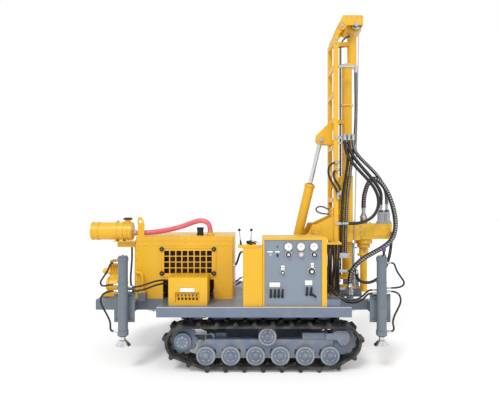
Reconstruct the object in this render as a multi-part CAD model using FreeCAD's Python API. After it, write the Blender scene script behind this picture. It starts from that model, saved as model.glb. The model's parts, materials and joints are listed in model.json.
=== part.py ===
import FreeCAD, Part
import math
import os

# Crawler-mounted well drilling rig, in millimetres. +X points to the drill end, +Z up, and the
# origin lies on the ground under the middle of the machine. The operator's side is -Y.

V = FreeCAD.Vector

# Crawler tracks
TRACK_Y = 680.0
BELT_WIDTH = 300.0
BELT_THICK = 28.0
LUG_HEIGHT = 33.0
LUG_BASE = 64.0
LUG_TIP = 26.0
LUG_PITCH = 203.2
SPROCKET_X = -710.0
IDLER_X = 1085.0
WHEEL_Z = 322.0
WHEEL_R = 160.0
WHEEL_GAP = 1.0
ROLLER_R = 107.0
ROLLER_FIRST_X = -448.6
ROLLER_STEP = 275.7
ROLLER_COUNT = 6
CARRIER_X = 236.0
CARRIER_R = 100.0
SPROCKET_TEETH = 10
ARC_STEP = 10.0

# Track frames, measured across the machine from its middle plane
FRAME_IN = TRACK_Y - 50.0
FRAME_OUT = TRACK_Y + 50.0
DRIVE_PLATE = (TRACK_Y - 128.0, TRACK_Y - 108.0)
HUB_OUT = TRACK_Y + 90.0
FRAME_LOW = 233.0
FRAME_TOP = 339.0
CHEEK = 10.0
ROLLER_IN = (TRACK_Y - 105.0, TRACK_Y - 62.0)
ROLLER_OUT = (TRACK_Y + 62.0, TRACK_Y + 105.0)
SHAFT_R = 22.0

# Chassis and deck
RAIL_IN = 330.0
RAIL_OUT = 400.0
RAIL_LOW = 590.0
RAIL_TOP = 710.0
RAIL_TAIL_X = -1800.0
RAIL_DRILL_X = 1570.0
PLATE = 12.0
DECK_TOP = 715.0
DECK_TAIL_X = -991.0
DECK_DRILL_X = 1163.0
DECK_Y = 830.0
SKIRT_LOW = 609.0

# Levelling jacks
JACK_Y = 800.0
JACK_TAIL_X = -1362.0
JACK_DRILL_X = 1497.0
JACK_R = 54.0
JACK_LOW = 408.0
JACK_TOP = 1270.0
JACK_ROD_R = 27.5
JACK_FOOT_Z = 295.0
JACK_FOOT_R = 85.5
FERRULE_R = 10.0
FERRULE = 49.0
JACK_PORTS = {1: (450.0, 889.0, 928.0, 1205.0), -1: (450.0, 894.0, 962.0, 1205.0)}
LINK_PORTS = {1: (868.0, 905.0), -1: (894.0, 939.0)}

# Hood and engine
HOOD_TAIL_X = -1329.0
HOOD_X = -154.0
HOOD_Y = 380.0
HOOD_TOP = 1463.0
SHEET = 4.0
DOOR_X = (-1036.0, -365.0)
DOOR_Z = (978.0, 1337.0)
GRID_PITCH = (73.0, 70.0)
GRID_HOLE = 60.0
GRID_COUNT = (8, 4)

# Mast, its tilt pivot and its tilt cylinder
PIVOT_X = 850.0
PIVOT_Z = 1530.0
PIVOT_PIN_R = 30.0
MAST_LOW = 800.0
MAST_TOP = 3920.0
RAIL_X = (1075.0, 1130.0)
RAIL_Y = (180.0, 240.0)
BOSS_X = 1181.0
CROWN_END_X = 1441.0
CROWN_Y = (198.0, 210.0)
CROWN_Z = (MAST_TOP + 142.0, MAST_TOP + 265.0)
BOSS_Z = CROWN_Z[0] - 3.0
SHEAVE_Z = CROWN_Z[0] + 9.0
CROWN_CHAIN_X = 1355.0
CHAIN_TURN_Z = CROWN_Z[0] - 212.0
CYL_BASE = V(632.0, 0.0, 1350.0)
CYL_EYE = V(945.0, 0.0, 2660.0)
CYL_GLAND = 771.0
CYL_R = 60.0
CYL_ROD_R = 27.5
CYL_ROD_LENGTH = 800.0
CYL_PIN_R = 25.0
RUN_FIT = 0.3

# Rotary head
SPINDLE_X = 1497.0
SPINDLE_R = 47.5
SPINDLE_LOW = 733.0
SPINDLE_BORE_R = 30.0
HEAD_LOW = 1410.0
HEAD_TOP = 1600.0
HEAD_X = (1420.0, 1790.0)
HEAD_Y = 130.0
HEAD_END_X = HEAD_X[1] + 72.0
ELBOW_X = HEAD_X[1] + 22.0

BELT_FLOOR = LUG_HEIGHT + BELT_THICK
ROLLER_Z = BELT_FLOOR + ROLLER_R
CARRIER_Z = WHEEL_Z + WHEEL_R - CARRIER_R
ROLLER_XS = [ROLLER_FIRST_X + i * ROLLER_STEP for i in range(ROLLER_COUNT)]
SIDES = (("right", -1.0), ("left", 1.0))


def box(x, y, z):
    """Block between two values on each axis, given in either order."""
    x0, x1 = sorted(x)
    y0, y1 = sorted(y)
    z0, z1 = sorted(z)
    return Part.makeBox(x1 - x0, y1 - y0, z1 - z0, V(x0, y0, z0))


def rod(radius, start, end):
    """Round bar from one point to another."""
    along = end.sub(start)
    return Part.makeCylinder(radius, along.Length, start, along)


def pipe(radius, bore, start, end):
    """Round bar with a bore right through it."""
    return rod(radius, start, end).cut(rod(bore, start, end))


def across(radius, x, z, y0, y1):
    """Round bar that lies across the machine."""
    return rod(radius, V(x, y0, z), V(x, y1, z))


def upright(radius, x, y, z0, z1):
    """Round bar that stands on end."""
    return rod(radius, V(x, y, z0), V(x, y, z1))


def side_plate(points, y0, y1):
    """Plate cut to an outline of (x, z) points, from y0 to y1."""
    corners = [V(x, y0, z) for x, z in points]
    face = Part.Face(Part.makePolygon(corners + corners[:1]))
    return face.extrude(V(0, y1 - y0, 0))


def join(*shapes):
    """One solid out of several that touch or overlap."""
    whole = shapes[0].fuse(list(shapes[1:]))
    return whole.removeSplitter()


def rounded(shape, radius, direction):
    """Round the straight edges that run along one axis."""
    edges = [e for e in shape.Edges
             if e.Curve.TypeId == "Part::GeomLine" and abs(e.tangentAt(0).dot(direction)) > 0.999]
    return shape.makeFillet(radius, edges)


def save(name, *solids):
    """Write the solids of one sub-part."""
    shape = solids[0] if len(solids) == 1 else Part.makeCompound(list(solids))
    shape.exportStep(os.path.join("parts", name + ".step"))


# Crawler tracks: the belt's middle line is a chain of arcs round four wheels and straight runs


def belt_runs():
    """Straight runs and arcs of the belt's middle line, clockwise from the sprocket's top."""
    half = BELT_THICK / 2
    wheels = [
        (SPROCKET_X, WHEEL_Z, WHEEL_R + half),
        (IDLER_X, WHEEL_Z, WHEEL_R + half),
        (ROLLER_XS[-1], ROLLER_Z, ROLLER_R + half),
        (ROLLER_XS[0], ROLLER_Z, ROLLER_R + half),
    ]
    normals = []
    for (x0, z0, r0), (x1, z1, r1) in zip(wheels, wheels[1:] + wheels[:1]):
        heading = math.atan2(z1 - z0, x1 - x0)
        taper = math.acos((r0 - r1) / math.hypot(x1 - x0, z1 - z0))
        normals.append(heading + taper)
    runs = []
    for i, (x, z, r) in enumerate(wheels):
        start, end = normals[i - 1], normals[i]
        turn = (start - end) % (2 * math.pi)
        runs.append(("arc", x, z, r, start, turn, r * turn))
        x1, z1, r1 = wheels[(i + 1) % len(wheels)]
        p = V(x + r * math.cos(end), 0, z + r * math.sin(end))
        q = V(x1 + r1 * math.cos(end), 0, z1 + r1 * math.sin(end))
        runs.append(("line", p, q, end, p.distanceToPoint(q)))
    return runs


BELT_RUNS = belt_runs()
BELT_LENGTH = sum(run[-1] for run in BELT_RUNS)


def belt_point(s, out):
    """Point at length s along the middle line, moved outwards by out."""
    s = s % BELT_LENGTH
    for run in BELT_RUNS:
        if s <= run[-1]:
            break
        s -= run[-1]
    if run[0] == "arc":
        x, z, r, start, turn = run[1:6]
        angle = start - turn * s / run[-1]
        return V(x + (r + out) * math.cos(angle), 0, z + (r + out) * math.sin(angle))
    p, q, normal = run[1:4]
    middle = p.add(q.sub(p).multiply(s / run[-1]))
    return middle.add(V(out * math.cos(normal), 0, out * math.sin(normal)))


def belt_stations():
    """Lengths along the middle line where the outline needs a corner."""
    stations = []
    s = 0.0
    for run in BELT_RUNS:
        steps = 1
        if run[0] == "arc":
            steps = max(4, round(math.degrees(run[5]) / ARC_STEP))
        stations += [s + run[-1] * i / steps for i in range(steps)]
        s += run[-1]
    return stations


def belt_wire(out, y, phase=None):
    """Closed outline of the belt, with lugs where phase places the first of them."""
    corners = [(s, 0.0) for s in belt_stations()]
    if phase is not None:
        count = round(BELT_LENGTH / LUG_PITCH)
        pitch = BELT_LENGTH / count
        middles = [(i + phase) * pitch for i in range(count)]
        corners = [c for c in corners
                   if min(abs(c[0] - m) for m in middles + [middles[0] + BELT_LENGTH]) > LUG_BASE / 2 + 4]
        profile = ((-LUG_BASE / 2, 0.0), (-LUG_TIP / 2, LUG_HEIGHT),
                   (LUG_TIP / 2, LUG_HEIGHT), (LUG_BASE / 2, 0.0))
        corners += [(m + along, height) for m in middles for along, height in profile]
        corners.sort()
    points = [belt_point(s, out + height) for s, height in corners]
    for point in points:
        point.y = y
    return Part.makePolygon(points + points[:1])


def belt_half(y0, y1, phase):
    """Half of the belt's width, with its own row of lugs."""
    outer = Part.Face(belt_wire(BELT_THICK / 2, y0, phase))
    inner = Part.Face(belt_wire(-BELT_THICK / 2, y0))
    return outer.cut(inner).extrude(V(0, y1 - y0, 0))


def track(side):
    """Rubber track: two rows of lugs, half a pitch apart."""
    edge_in = side * (TRACK_Y - BELT_WIDTH / 2)
    middle = side * TRACK_Y
    edge_out = side * (TRACK_Y + BELT_WIDTH / 2)
    return join(belt_half(middle, edge_out, 0.25), belt_half(edge_in, middle, 0.75))


def wheel(x, z, radius, y_in, y_out, side):
    """Roller flange with a recessed outer face and a hub cap."""
    disc = across(radius, x, z, side * y_in, side * y_out)
    recess = across(radius * 0.78, x, z, side * (y_out - 12), side * y_out)
    cap = across(radius * 0.33, x, z, side * y_in, side * (y_out + 5))
    return join(disc.cut(recess), cap)


def roller(x, z, radius, side):
    """Track roller: inner and outer flange on one shaft through the track frame."""
    outer = wheel(x, z, radius, ROLLER_OUT[0], ROLLER_OUT[1], side)
    inner = across(radius, x, z, side * ROLLER_IN[0], side * ROLLER_IN[1])
    shaft = across(SHAFT_R, x, z, side * ROLLER_IN[1], side * ROLLER_OUT[0])
    return join(outer, shaft, inner)


def rollers(side):
    """Lower rollers and the carrier roller of one track."""
    lower = [roller(x, ROLLER_Z, ROLLER_R - RUN_FIT, side) for x in ROLLER_XS]
    return lower + [roller(CARRIER_X, CARRIER_Z, CARRIER_R - RUN_FIT, side)]


def sprocket(side):
    """Toothed drive wheel with its hub, seated on the drive bracket."""
    radius = WHEEL_R - WHEEL_GAP
    disc = across(radius, SPROCKET_X, WHEEL_Z, side * (TRACK_Y - 22), side * (TRACK_Y + 22))
    notches = []
    for i in range(SPROCKET_TEETH):
        angle = 2 * math.pi * (i + 0.5) / SPROCKET_TEETH
        x = SPROCKET_X + (radius + 6) * math.cos(angle)
        z = WHEEL_Z + (radius + 6) * math.sin(angle)
        notches.append(across(27.0, x, z, side * (TRACK_Y - 30), side * (TRACK_Y + 30)))
    hub = across(95.0, SPROCKET_X, WHEEL_Z, side * DRIVE_PLATE[1], side * HUB_OUT)
    cover = across(70.0, SPROCKET_X, WHEEL_Z, side * HUB_OUT, side * (HUB_OUT + 18))
    return join(disc.cut(notches), hub, cover)


def idler(side):
    """Front idler in its sliding yoke."""
    tyre = across(WHEEL_R - WHEEL_GAP, IDLER_X, WHEEL_Z, side * (TRACK_Y - 32), side * (TRACK_Y + 32))
    recess = across(WHEEL_R * 0.72, IDLER_X, WHEEL_Z, side * (TRACK_Y + 20), side * (TRACK_Y + 32))
    hub = across(52.0, IDLER_X, WHEEL_Z, side * (TRACK_Y - 60), side * (TRACK_Y + 60))
    outline = ((890, 340), (1010, 340), (1050, 290), (1120, 290), (1153, 327), (1153, 400), (1120, 440),
               (1000, 440), (960, 410), (890, 410))
    yoke_out = side_plate(outline, side * (TRACK_Y + 60), side * (TRACK_Y + 75))
    yoke_in = side_plate(outline, side * (TRACK_Y - 75), side * (TRACK_Y - 60))
    bridge = box((890, 917), (side * (TRACK_Y - 60), side * (TRACK_Y + 60)), (340, 410))
    return join(tyre.cut(recess), hub, yoke_out, yoke_in, bridge)


def track_frame(side):
    """Longitudinal beam with roller hangers, tension box, drive bracket and step."""
    slant = ((-545, FRAME_LOW), (945, FRAME_LOW), (915, 300), (915, FRAME_TOP), (-460, FRAME_TOP))
    beam = side_plate(slant, side * FRAME_IN, side * FRAME_OUT)
    skin = ((-545, FRAME_LOW), (970, FRAME_LOW), (970, FRAME_TOP), (-460, FRAME_TOP))
    cheek = side_plate(skin, side * FRAME_OUT, side * (FRAME_OUT + CHEEK))
    pieces = [cheek]
    for x in ROLLER_XS:
        hanger = ((x - 30, 130), (x - 30, 205), (x - 15, FRAME_LOW), (x + 15, FRAME_LOW), (x + 30, 205),
                  (x + 30, 130))
        pieces.append(side_plate(hanger, side * FRAME_IN, side * FRAME_OUT))
    for x in ROLLER_XS[:-1]:
        middle = x + ROLLER_STEP / 2
        foot = ((middle - 34, FRAME_LOW), (middle + 34, FRAME_LOW), (middle + 18, 175),
                (middle + 34, 148), (middle - 34, 148), (middle - 18, 175))
        pieces.append(side_plate(foot, side * FRAME_OUT, side * (FRAME_OUT + CHEEK)))
        pieces.append(box((middle - 14, middle + 14), (side * FRAME_IN, side * FRAME_OUT), (150, FRAME_LOW)))
    pieces.append(box((CARRIER_X - 30, CARRIER_X + 30), (side * FRAME_IN, side * FRAME_OUT),
                      (FRAME_TOP, CARRIER_Z + 30)))
    pieces.append(box((630, 890), (side * FRAME_IN, side * FRAME_OUT), (FRAME_TOP, 410)))
    drive = join(box((SPROCKET_X, -400), (side * DRIVE_PLATE[0], side * DRIVE_PLATE[1]), (285, FRAME_TOP)),
                 across(105.0, SPROCKET_X, WHEEL_Z, side * DRIVE_PLATE[0], side * DRIVE_PLATE[1]))
    weld = box((-440, -400), (side * DRIVE_PLATE[1], side * FRAME_IN), (285, FRAME_TOP))
    step = box((-458, -358), (side * (FRAME_OUT - 2), side * (FRAME_OUT + 8)), (FRAME_TOP, 400))
    step = step.cut(box((-450, -366), (side * (FRAME_OUT - 10), side * (FRAME_OUT + 15)), (FRAME_TOP, 392)))
    whole = join(beam, *pieces, drive, weld, step)
    ends = (side * (FRAME_IN - 30), side * (FRAME_OUT + 15))
    holes = [across(SHAFT_R + RUN_FIT, x, ROLLER_Z, *ends) for x in ROLLER_XS]
    holes.append(across(SHAFT_R + RUN_FIT, CARRIER_X, CARRIER_Z, *ends))
    return whole.cut(holes)


def cross_frame():
    """Centre box under the rails, with two beams out to the track frames."""
    centre = box((-400, 900), (-300, 300), (220, RAIL_LOW))
    lip = box((-400, 900), (-RAIL_OUT, RAIL_OUT), (RAIL_LOW - 15, RAIL_LOW))
    beams = [box(x, (-FRAME_IN, FRAME_IN), (281, 381)) for x in ((-350, -230), (640, 760))]
    return join(centre, lip, *beams)


# Chassis, deck and levelling jacks


def chassis_rails():
    """Two channels the whole length of the machine, tied by cross-members."""
    pieces = []
    for side in (-1, 1):
        pieces.append(box((RAIL_TAIL_X, RAIL_DRILL_X), (side * (RAIL_OUT - PLATE), side * RAIL_OUT),
                          (RAIL_LOW, RAIL_TOP)))
        for z in (RAIL_LOW, RAIL_TOP - PLATE):
            pieces.append(box((RAIL_TAIL_X, RAIL_DRILL_X), (side * RAIL_IN, side * RAIL_OUT), (z, z + PLATE)))
        pieces.append(box((HOOD_TAIL_X - 20, DECK_TAIL_X), (side * RAIL_IN, side * RAIL_OUT),
                          (RAIL_TOP, DECK_TOP)))
    for x in (RAIL_TAIL_X, -1050, -120, 880):
        pieces.append(box((x, x + 60), (-(RAIL_OUT - PLATE), RAIL_OUT - PLATE), (RAIL_LOW + 5, RAIL_TOP)))
    return join(*pieces)


def deck():
    """Deck plate with channel skirts all round and ribs out from the rails."""
    thick = DECK_TOP - RAIL_TOP
    plate = box((DECK_TAIL_X, DECK_DRILL_X), (-DECK_Y, DECK_Y), (RAIL_TOP, DECK_TOP))
    pieces = [plate]
    for side in (-1, 1):
        pieces.append(box((DECK_TAIL_X, DECK_DRILL_X), (side * (DECK_Y - 8), side * DECK_Y),
                          (SKIRT_LOW, RAIL_TOP)))
        pieces.append(box((DECK_TAIL_X, DECK_DRILL_X), (side * (DECK_Y - 50), side * DECK_Y),
                          (SKIRT_LOW, SKIRT_LOW + 8)))
        for x in (DECK_TAIL_X, -560, -120, 320, 760, DECK_DRILL_X - 8):
            pieces.append(box((x, x + 8), (side * RAIL_OUT, side * (DECK_Y - 8)), (640, RAIL_TOP)))
    return join(*pieces)


def outrigger_beams():
    """Box beams between the rails and the jack flanges."""
    wall = JACK_Y - JACK_R - 14
    beams = [box((JACK_TAIL_X - 60, JACK_TAIL_X + 60), (-(RAIL_OUT - PLATE), RAIL_OUT - PLATE), (603, 697))]
    for x in (JACK_TAIL_X, JACK_DRILL_X):
        for side in (-1, 1):
            beams.append(box((x - 60, x + 60), (side * RAIL_OUT, side * wall), (595, 708)))
    return beams


def jack_tube(x, side):
    """Jack tube with its bolted flange plate, gussets and top fittings."""
    y = side * JACK_Y
    tube = upright(JACK_R, x, y, JACK_LOW, JACK_TOP)
    bore = upright(JACK_ROD_R + RUN_FIT, x, y, JACK_LOW, JACK_TOP - 60)
    collar = upright(JACK_R + 6, x, y, JACK_LOW, JACK_LOW + 30)
    cap = upright(JACK_R + 5, x, y, JACK_TOP - 45, JACK_TOP)
    wall = JACK_Y - JACK_R - 14
    plate = box((x - 115, x + 115), (side * wall, side * (wall + 14)), (535, 850))
    pad = box((x - 40, x + 40), (side * (wall + 14), y), (545, 840))
    ears = []
    for z in (560, 815):
        ears.append(box((x - 90, x + 90), (side * (wall + 14), side * (wall + 44)), (z, z + 10)))
    out = 1 if x > 0 else -1
    reach = JACK_R + FERRULE
    ports = [rod(FERRULE_R, V(x, y, z), V(x + out * reach, y, z)) for z in JACK_PORTS[out]]
    ports += [rod(FERRULE_R, V(x, y, z), V(x - out * reach, y, z)) for z in LINK_PORTS[out]]
    return join(tube, collar, cap, plate, pad, *ears, *ports).cut(bore)


def jack_rod(x, side):
    """Jack rod with its dished foot, drawn in."""
    y = side * JACK_Y
    shaft = upright(JACK_ROD_R, x, y, JACK_FOOT_Z + 20, JACK_TOP - 75)
    foot = Part.makeCone(JACK_FOOT_R, JACK_ROD_R + 12, 45, V(x, y, JACK_FOOT_Z + 12))
    sole = upright(JACK_FOOT_R, x, y, JACK_FOOT_Z, JACK_FOOT_Z + 12)
    return join(shaft, foot, sole)


# Power pack: hood, engine, radiator, air cleaner and exhaust


def hood():
    """Sheet hood, open below, with a door opening and a recess on both sides."""
    outer = box((HOOD_TAIL_X, HOOD_X), (-HOOD_Y, HOOD_Y), (DECK_TOP, HOOD_TOP))
    outer = rounded(outer, 18.0, V(0, 0, 1))
    inner = box((HOOD_TAIL_X + SHEET, HOOD_X - SHEET), (-HOOD_Y + SHEET, HOOD_Y - SHEET),
                (DECK_TOP - 1, HOOD_TOP - SHEET))
    inner = rounded(inner, 14.0, V(0, 0, 1))
    door = box((DOOR_X[0] + 14, DOOR_X[1] - 14), (-HOOD_Y - 5, HOOD_Y + 5), (DOOR_Z[0] + 14, DOOR_Z[1] - 14))
    recess = box((-1000, -389), (-HOOD_Y - 5, HOOD_Y + 5), (DECK_TOP - 1, 950))
    tail = box((HOOD_TAIL_X - 5, HOOD_TAIL_X + 10), (-290, 290), (800, 1380))
    return outer.cut([inner, door, recess, tail])


def grille_door(side):
    """Door with a grid of square holes, latched at its corners."""
    y0 = side * HOOD_Y
    y1 = side * (HOOD_Y + SHEET)
    door = rounded(box(DOOR_X, (y0, y1), DOOR_Z), 20.0, V(0, 1, 0))
    middle_x = sum(DOOR_X) / 2
    middle_z = sum(DOOR_Z) / 2
    holes = []
    for i in range(GRID_COUNT[0]):
        for k in range(GRID_COUNT[1]):
            x = middle_x + (i - (GRID_COUNT[0] - 1) / 2) * GRID_PITCH[0]
            z = middle_z + (k - (GRID_COUNT[1] - 1) / 2) * GRID_PITCH[1]
            holes.append(box((x - GRID_HOLE / 2, x + GRID_HOLE / 2), (y0 - 5, y0 + 5),
                             (z - GRID_HOLE / 2, z + GRID_HOLE / 2)))
    door = door.cut(holes)
    latches = []
    for x in (DOOR_X[0] + 24, DOOR_X[1] - 24):
        for z in (DOOR_Z[0] + 45, DOOR_Z[1] - 24):
            latches.append(across(16.0, x, z, y1, side * (HOOD_Y + SHEET + 9)))
    return join(door, *latches)


def engine():
    """Heavy block of the engine and compressor drive, on four feet."""
    block = box((-1080, -420), (-240, 240), (770, 1290))
    feet = [box((x, x + 80), y, (DECK_TOP, 775)) for x in (-960, -540) for y in ((-300, -180), (180, 300))]
    return join(block, *feet)


def radiator():
    """Cooler core behind the tail opening, with its tanks."""
    core = box((HOOD_TAIL_X + 40, HOOD_TAIL_X + 120), (-300, 300), (DECK_TOP + 60, 1390))
    tank_low = box((HOOD_TAIL_X + 25, HOOD_TAIL_X + 135), (-345, 345), (DECK_TOP, DECK_TOP + 60))
    tank_top = box((HOOD_TAIL_X + 25, HOOD_TAIL_X + 135), (-310, 310), (1390, 1440))
    return join(core, tank_low, tank_top)


CLEANER_Y = -330.0
CLEANER_Z = 1525.0
CLEANER_R = 109.0
CLEANER_X = (-1862.0, -1373.0)
INTAKE_R = 30.0


def air_cleaner():
    """Air cleaner drum lying along the machine, with its outlet and rain cap."""
    drum = rod(CLEANER_R - 4, V(CLEANER_X[0], CLEANER_Y, CLEANER_Z), V(CLEANER_X[1], CLEANER_Y, CLEANER_Z))
    rings = []
    for x in (CLEANER_X[0] + 4, CLEANER_X[0] + 62, CLEANER_X[1] - 34):
        rings.append(rod(CLEANER_R, V(x, CLEANER_Y, CLEANER_Z), V(x + 22, CLEANER_Y, CLEANER_Z)))
    outlet = rod(INTAKE_R - 3, V(CLEANER_X[1], CLEANER_Y, 1503), V(CLEANER_X[1] + 38, CLEANER_Y, 1503))
    inlet = upright(34.0, CLEANER_X[1] - 60, CLEANER_Y, CLEANER_Z, CLEANER_Z + CLEANER_R + 26)
    cap = Part.makeCone(52, 30, 26, V(CLEANER_X[1] - 60, CLEANER_Y, CLEANER_Z + CLEANER_R + 26))
    return join(drum, *rings, outlet, inlet, cap)


def cleaner_bracket():
    """Saddle bracket out from the hood's tail, with a strap round the drum."""
    plate = box((-1590, HOOD_TAIL_X), (CLEANER_Y - 70, CLEANER_Y + 60), (1398, 1406))
    web = box((-1560, HOOD_TAIL_X), (CLEANER_Y - 4, CLEANER_Y + 4), (1330, 1398))
    saddles = []
    for x in (-1580, -1500):
        post = box((x, x + 24), (CLEANER_Y - 60, CLEANER_Y + 60), (1406, 1450))
        strap = pipe(CLEANER_R + 5, CLEANER_R - 4, V(x, CLEANER_Y, CLEANER_Z),
                     V(x + 24, CLEANER_Y, CLEANER_Z))
        hollow = rod(CLEANER_R - 4, V(x - 1, CLEANER_Y, CLEANER_Z), V(x + 25, CLEANER_Y, CLEANER_Z))
        saddles.append(join(post.cut(hollow), strap))
    return join(plate, web, *saddles)


def lifting_hook():
    """Folded plate hook on the hood's tail corner."""
    low = HOOD_TOP
    foot = box((-1312, -1212), (-380, -363), (low, low + 8))
    plate = side_plate(((-1300, low + 8), (-1226, low + 8), (-1222, 1600), (-1240, 1660), (-1262, 1694),
                        (-1300, 1694), (-1306, 1640)), -378, -366)
    eye = across(18.0, -1272, 1640, -385, -360)
    return join(foot, plate).cut(eye)


def exhaust():
    """Exhaust outlet through the hood's roof with its rain cap."""
    stack = upright(24.0, -577, -160, HOOD_TOP, HOOD_TOP + 70)
    collar = upright(38.0, -577, -160, HOOD_TOP, HOOD_TOP + 12)
    cap = upright(34.0, -577, -160, HOOD_TOP + 70, HOOD_TOP + 84)
    return join(stack, collar, cap)


def intake_port():
    """Round port on the hood's roof where the intake hose ends."""
    return join(upright(44.0, -447, -230, HOOD_TOP, HOOD_TOP + 8),
                upright(INTAKE_R - 3, -447, -230, HOOD_TOP + 8, HOOD_TOP + 40))


# Operator's side: valve box, oil tank, console; tail pump


def valve_box():
    """Sheet box over the stabiliser valves, with a slot for the levers."""
    shell = rounded(box((-875, -439), (-720, -400), (DECK_TOP, 1029)), 8.0, V(0, 1, 0))
    slot = box((-800, -525), (-725, -690), (752, 862))
    bank = box((-805, -520), (-700, -690), (752, 802))
    return join(shell.cut(slot), bank)


def lever(x, y, z, lean_x, reach, height, radius=5.0, knob=9.0):
    """Hand lever with a round knob, leaning out from its root."""
    root = V(x, y, z)
    tip = V(x + lean_x, y - reach, z + height)
    ball = Part.makeSphere(knob, tip)
    boss = across(radius * 2.4, x, z, y, y - 10)
    return join(boss, rod(radius, V(x, y - 8, z), tip), ball)


def valve_levers():
    """Row of short levers that work the jacks."""
    return [lever(-762 + i * 41, -700, 782, 0, 38, 52) for i in range(6)]


def oil_tank():
    """Upright hydraulic oil tank with filler and fittings on top."""
    tank = rounded(box((-36, 186), (-790, -350), (DECK_TOP, 1363)), 10.0, V(0, 0, 1))
    filler = upright(38.0, 75, -480, 1363, 1392)
    breather = upright(22.0, 30, -600, 1363, 1400)
    return join(tank, filler, breather)


def travel_levers():
    """Two travel levers on their pivot block, on top of the tank."""
    block = box((-20, 140), (-770, -690), (1363, 1400))
    pieces = [block]
    for x, lean in ((10, -45), (70, 30)):
        tip = V(x + lean, -730, 1570)
        pieces.append(rod(7.0, V(x, -730, 1395), tip))
        pieces.append(Part.makeSphere(16.0, tip))
    pieces.append(rod(6.0, V(70, -730, 1440), V(150, -730, 1415)))
    return join(*pieces)


CONSOLE_X = (186.0, 893.0)
CONSOLE_Y = (-800.0, -410.0)
CONSOLE_TOP = 1486.0
PANEL_X = (202.0, 838.0)
PANEL_Z = (721.0, 1458.0)
PANEL_Y = -786.0


def console_cabinet():
    """Cabinet with a frame round the recessed panel."""
    outer = box(CONSOLE_X, CONSOLE_Y, (DECK_TOP, CONSOLE_TOP))
    inner = box((CONSOLE_X[0] + 12, CONSOLE_X[1] - 52), (CONSOLE_Y[0] + 12, CONSOLE_Y[1] - 12),
                (DECK_TOP + 3, CONSOLE_TOP - 12))
    window = box(PANEL_X, (CONSOLE_Y[0] - 5, CONSOLE_Y[0] + 20), PANEL_Z)
    return outer.cut([inner, window])


def console_panel():
    """Instrument panel, set back in the cabinet's frame."""
    return box((PANEL_X[0], PANEL_X[1]), (PANEL_Y - 2, PANEL_Y + 6), (PANEL_Z[0], PANEL_Z[1]))


def console_gauges():
    """Gauges and hand wheels, as (x, z, radius, depth) on the panel."""
    table = (
        (467, 1384, 50, 18), (606, 1384, 50, 18), (751, 1384, 50, 18),
        (467, 1298, 31, 40), (606, 1298, 31, 40), (751, 1298, 31, 40),
        (403, 1097, 25, 30), (725, 1110, 38, 34),
        (268, 1298, 16, 12), (340, 1298, 13, 16), (340, 1384, 13, 12), (268, 1384, 13, 12),
    )
    face = PANEL_Y - 2
    return [across(radius, x, z, face, face - depth) for x, z, radius, depth in table]


def console_levers():
    """Lever banks in the lower panel, as (x, z) of each root with its lean."""
    face = PANEL_Y - 2
    table = ((274, 830, 0), (316, 830, 0), (356, 830, 0), (398, 830, 0),
             (620, 850, 0), (666, 850, 0), (712, 850, 24))
    return [lever(x, face, z, lean, 60, 78) for x, z, lean in table]


def tail_pump():
    """Foam and water pump on the tail end of the rails."""
    y = -120.0
    tail = RAIL_TAIL_X
    base = box((tail + 10, tail + 260), (y - 90, y + 90), (RAIL_TOP, 745))
    body = rod(95.0, V(tail + 60, y, 840), V(tail + 220, y, 840))
    tower = box((tail + 100, tail + 220), (y - 60, y + 60), (745, 1010))
    motor = rod(70.0, V(tail + 100, y, 1010), V(tail + 240, y, 1010))
    nose = rod(38.0, V(tail + 20, y, 1010), V(tail + 100, y, 1010))
    fins = [box((x, x + 8), (y - 85, y + 85), (1000, 1150))
            for x in (tail + 110 + 24 * i for i in range(5))]
    return join(base, body, tower, motor, nose, *fins)


def step_box():
    """Raised box on the deck by the mast's foot."""
    return box((893, 1045), (-800, -640), (DECK_TOP, 800))


# Mast support, mast, feed cylinder and tilt cylinder

SUPPORT_Y = (228.0, 248.0)
ARM_Y = (180.0, 220.0)
FEED_X = 1285.0
FEED_R = 62.0
FEED_UPPER_X = 1347.0
FEED_UPPER_R = 58.0
FEED_SHOULDER_Z = MAST_TOP - 320.0
CHAIN_X = (1190.0, 1211.0)
CHAIN_Y = 18.0
CHAIN_PITCH = 60.0
CHAIN_TURN_R = CROWN_CHAIN_X - CHAIN_X[0]
SHEAVE_X = 1358.0
SHEAVE_R = 35.0
ROPE_R = 6.0
ROPE_Y = -165.0
ROPE_TOP = V(SHEAVE_X + SHEAVE_R + ROPE_R, ROPE_Y, SHEAVE_Z)
ROPE_END = V(1334.0, ROPE_Y, 950.0)
HOOK_EYE_Z = 828.0
TIE_FIRST = 880.0
TIE_STEP = 330.0
TIE_HIGH = 60.0
TIE_COUNT = 1 + int((MAST_TOP - TIE_FIRST - TIE_HIGH) // TIE_STEP)
TIES = [TIE_FIRST + i * TIE_STEP for i in range(TIE_COUNT)]
FEED_CLAMPS = TIES[0::3]
TIE_X = (RAIL_X[0], RAIL_X[0] + 25)
NECK = (CROWN_Y[0] - 12, CROWN_Y[0])


def mast_support():
    """Two cheeks on the deck that carry the mast's pivot and the tilt cylinder's foot."""
    outline = ((430, 727), (960, 727), (940, 1100), (915, 1560), (880, 1600), (810, 1600), (760, 1500),
               (690, 1425), (575, 1420), (515, 1300))
    pieces = [box((420, 975), (-262, 262), (DECK_TOP, 727))]
    for side in (-1, 1):
        pieces.append(side_plate(outline, side * SUPPORT_Y[0], side * SUPPORT_Y[1]))
        pieces.append(across(PIVOT_PIN_R, PIVOT_X, PIVOT_Z, side * (ARM_Y[0] - 2), side * 262))
        pieces.append(across(52.0, PIVOT_X, PIVOT_Z, side * SUPPORT_Y[1], side * 262))
        pieces.append(across(38.0, CYL_BASE.x, CYL_BASE.z, side * 36, side * SUPPORT_Y[0]))
    pieces.append(box((580, 700), (-SUPPORT_Y[0], SUPPORT_Y[0]), (940, 1040)))
    pieces.append(across(CYL_PIN_R, CYL_BASE.x, CYL_BASE.z, -258, 258))
    return join(*pieces)


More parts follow.
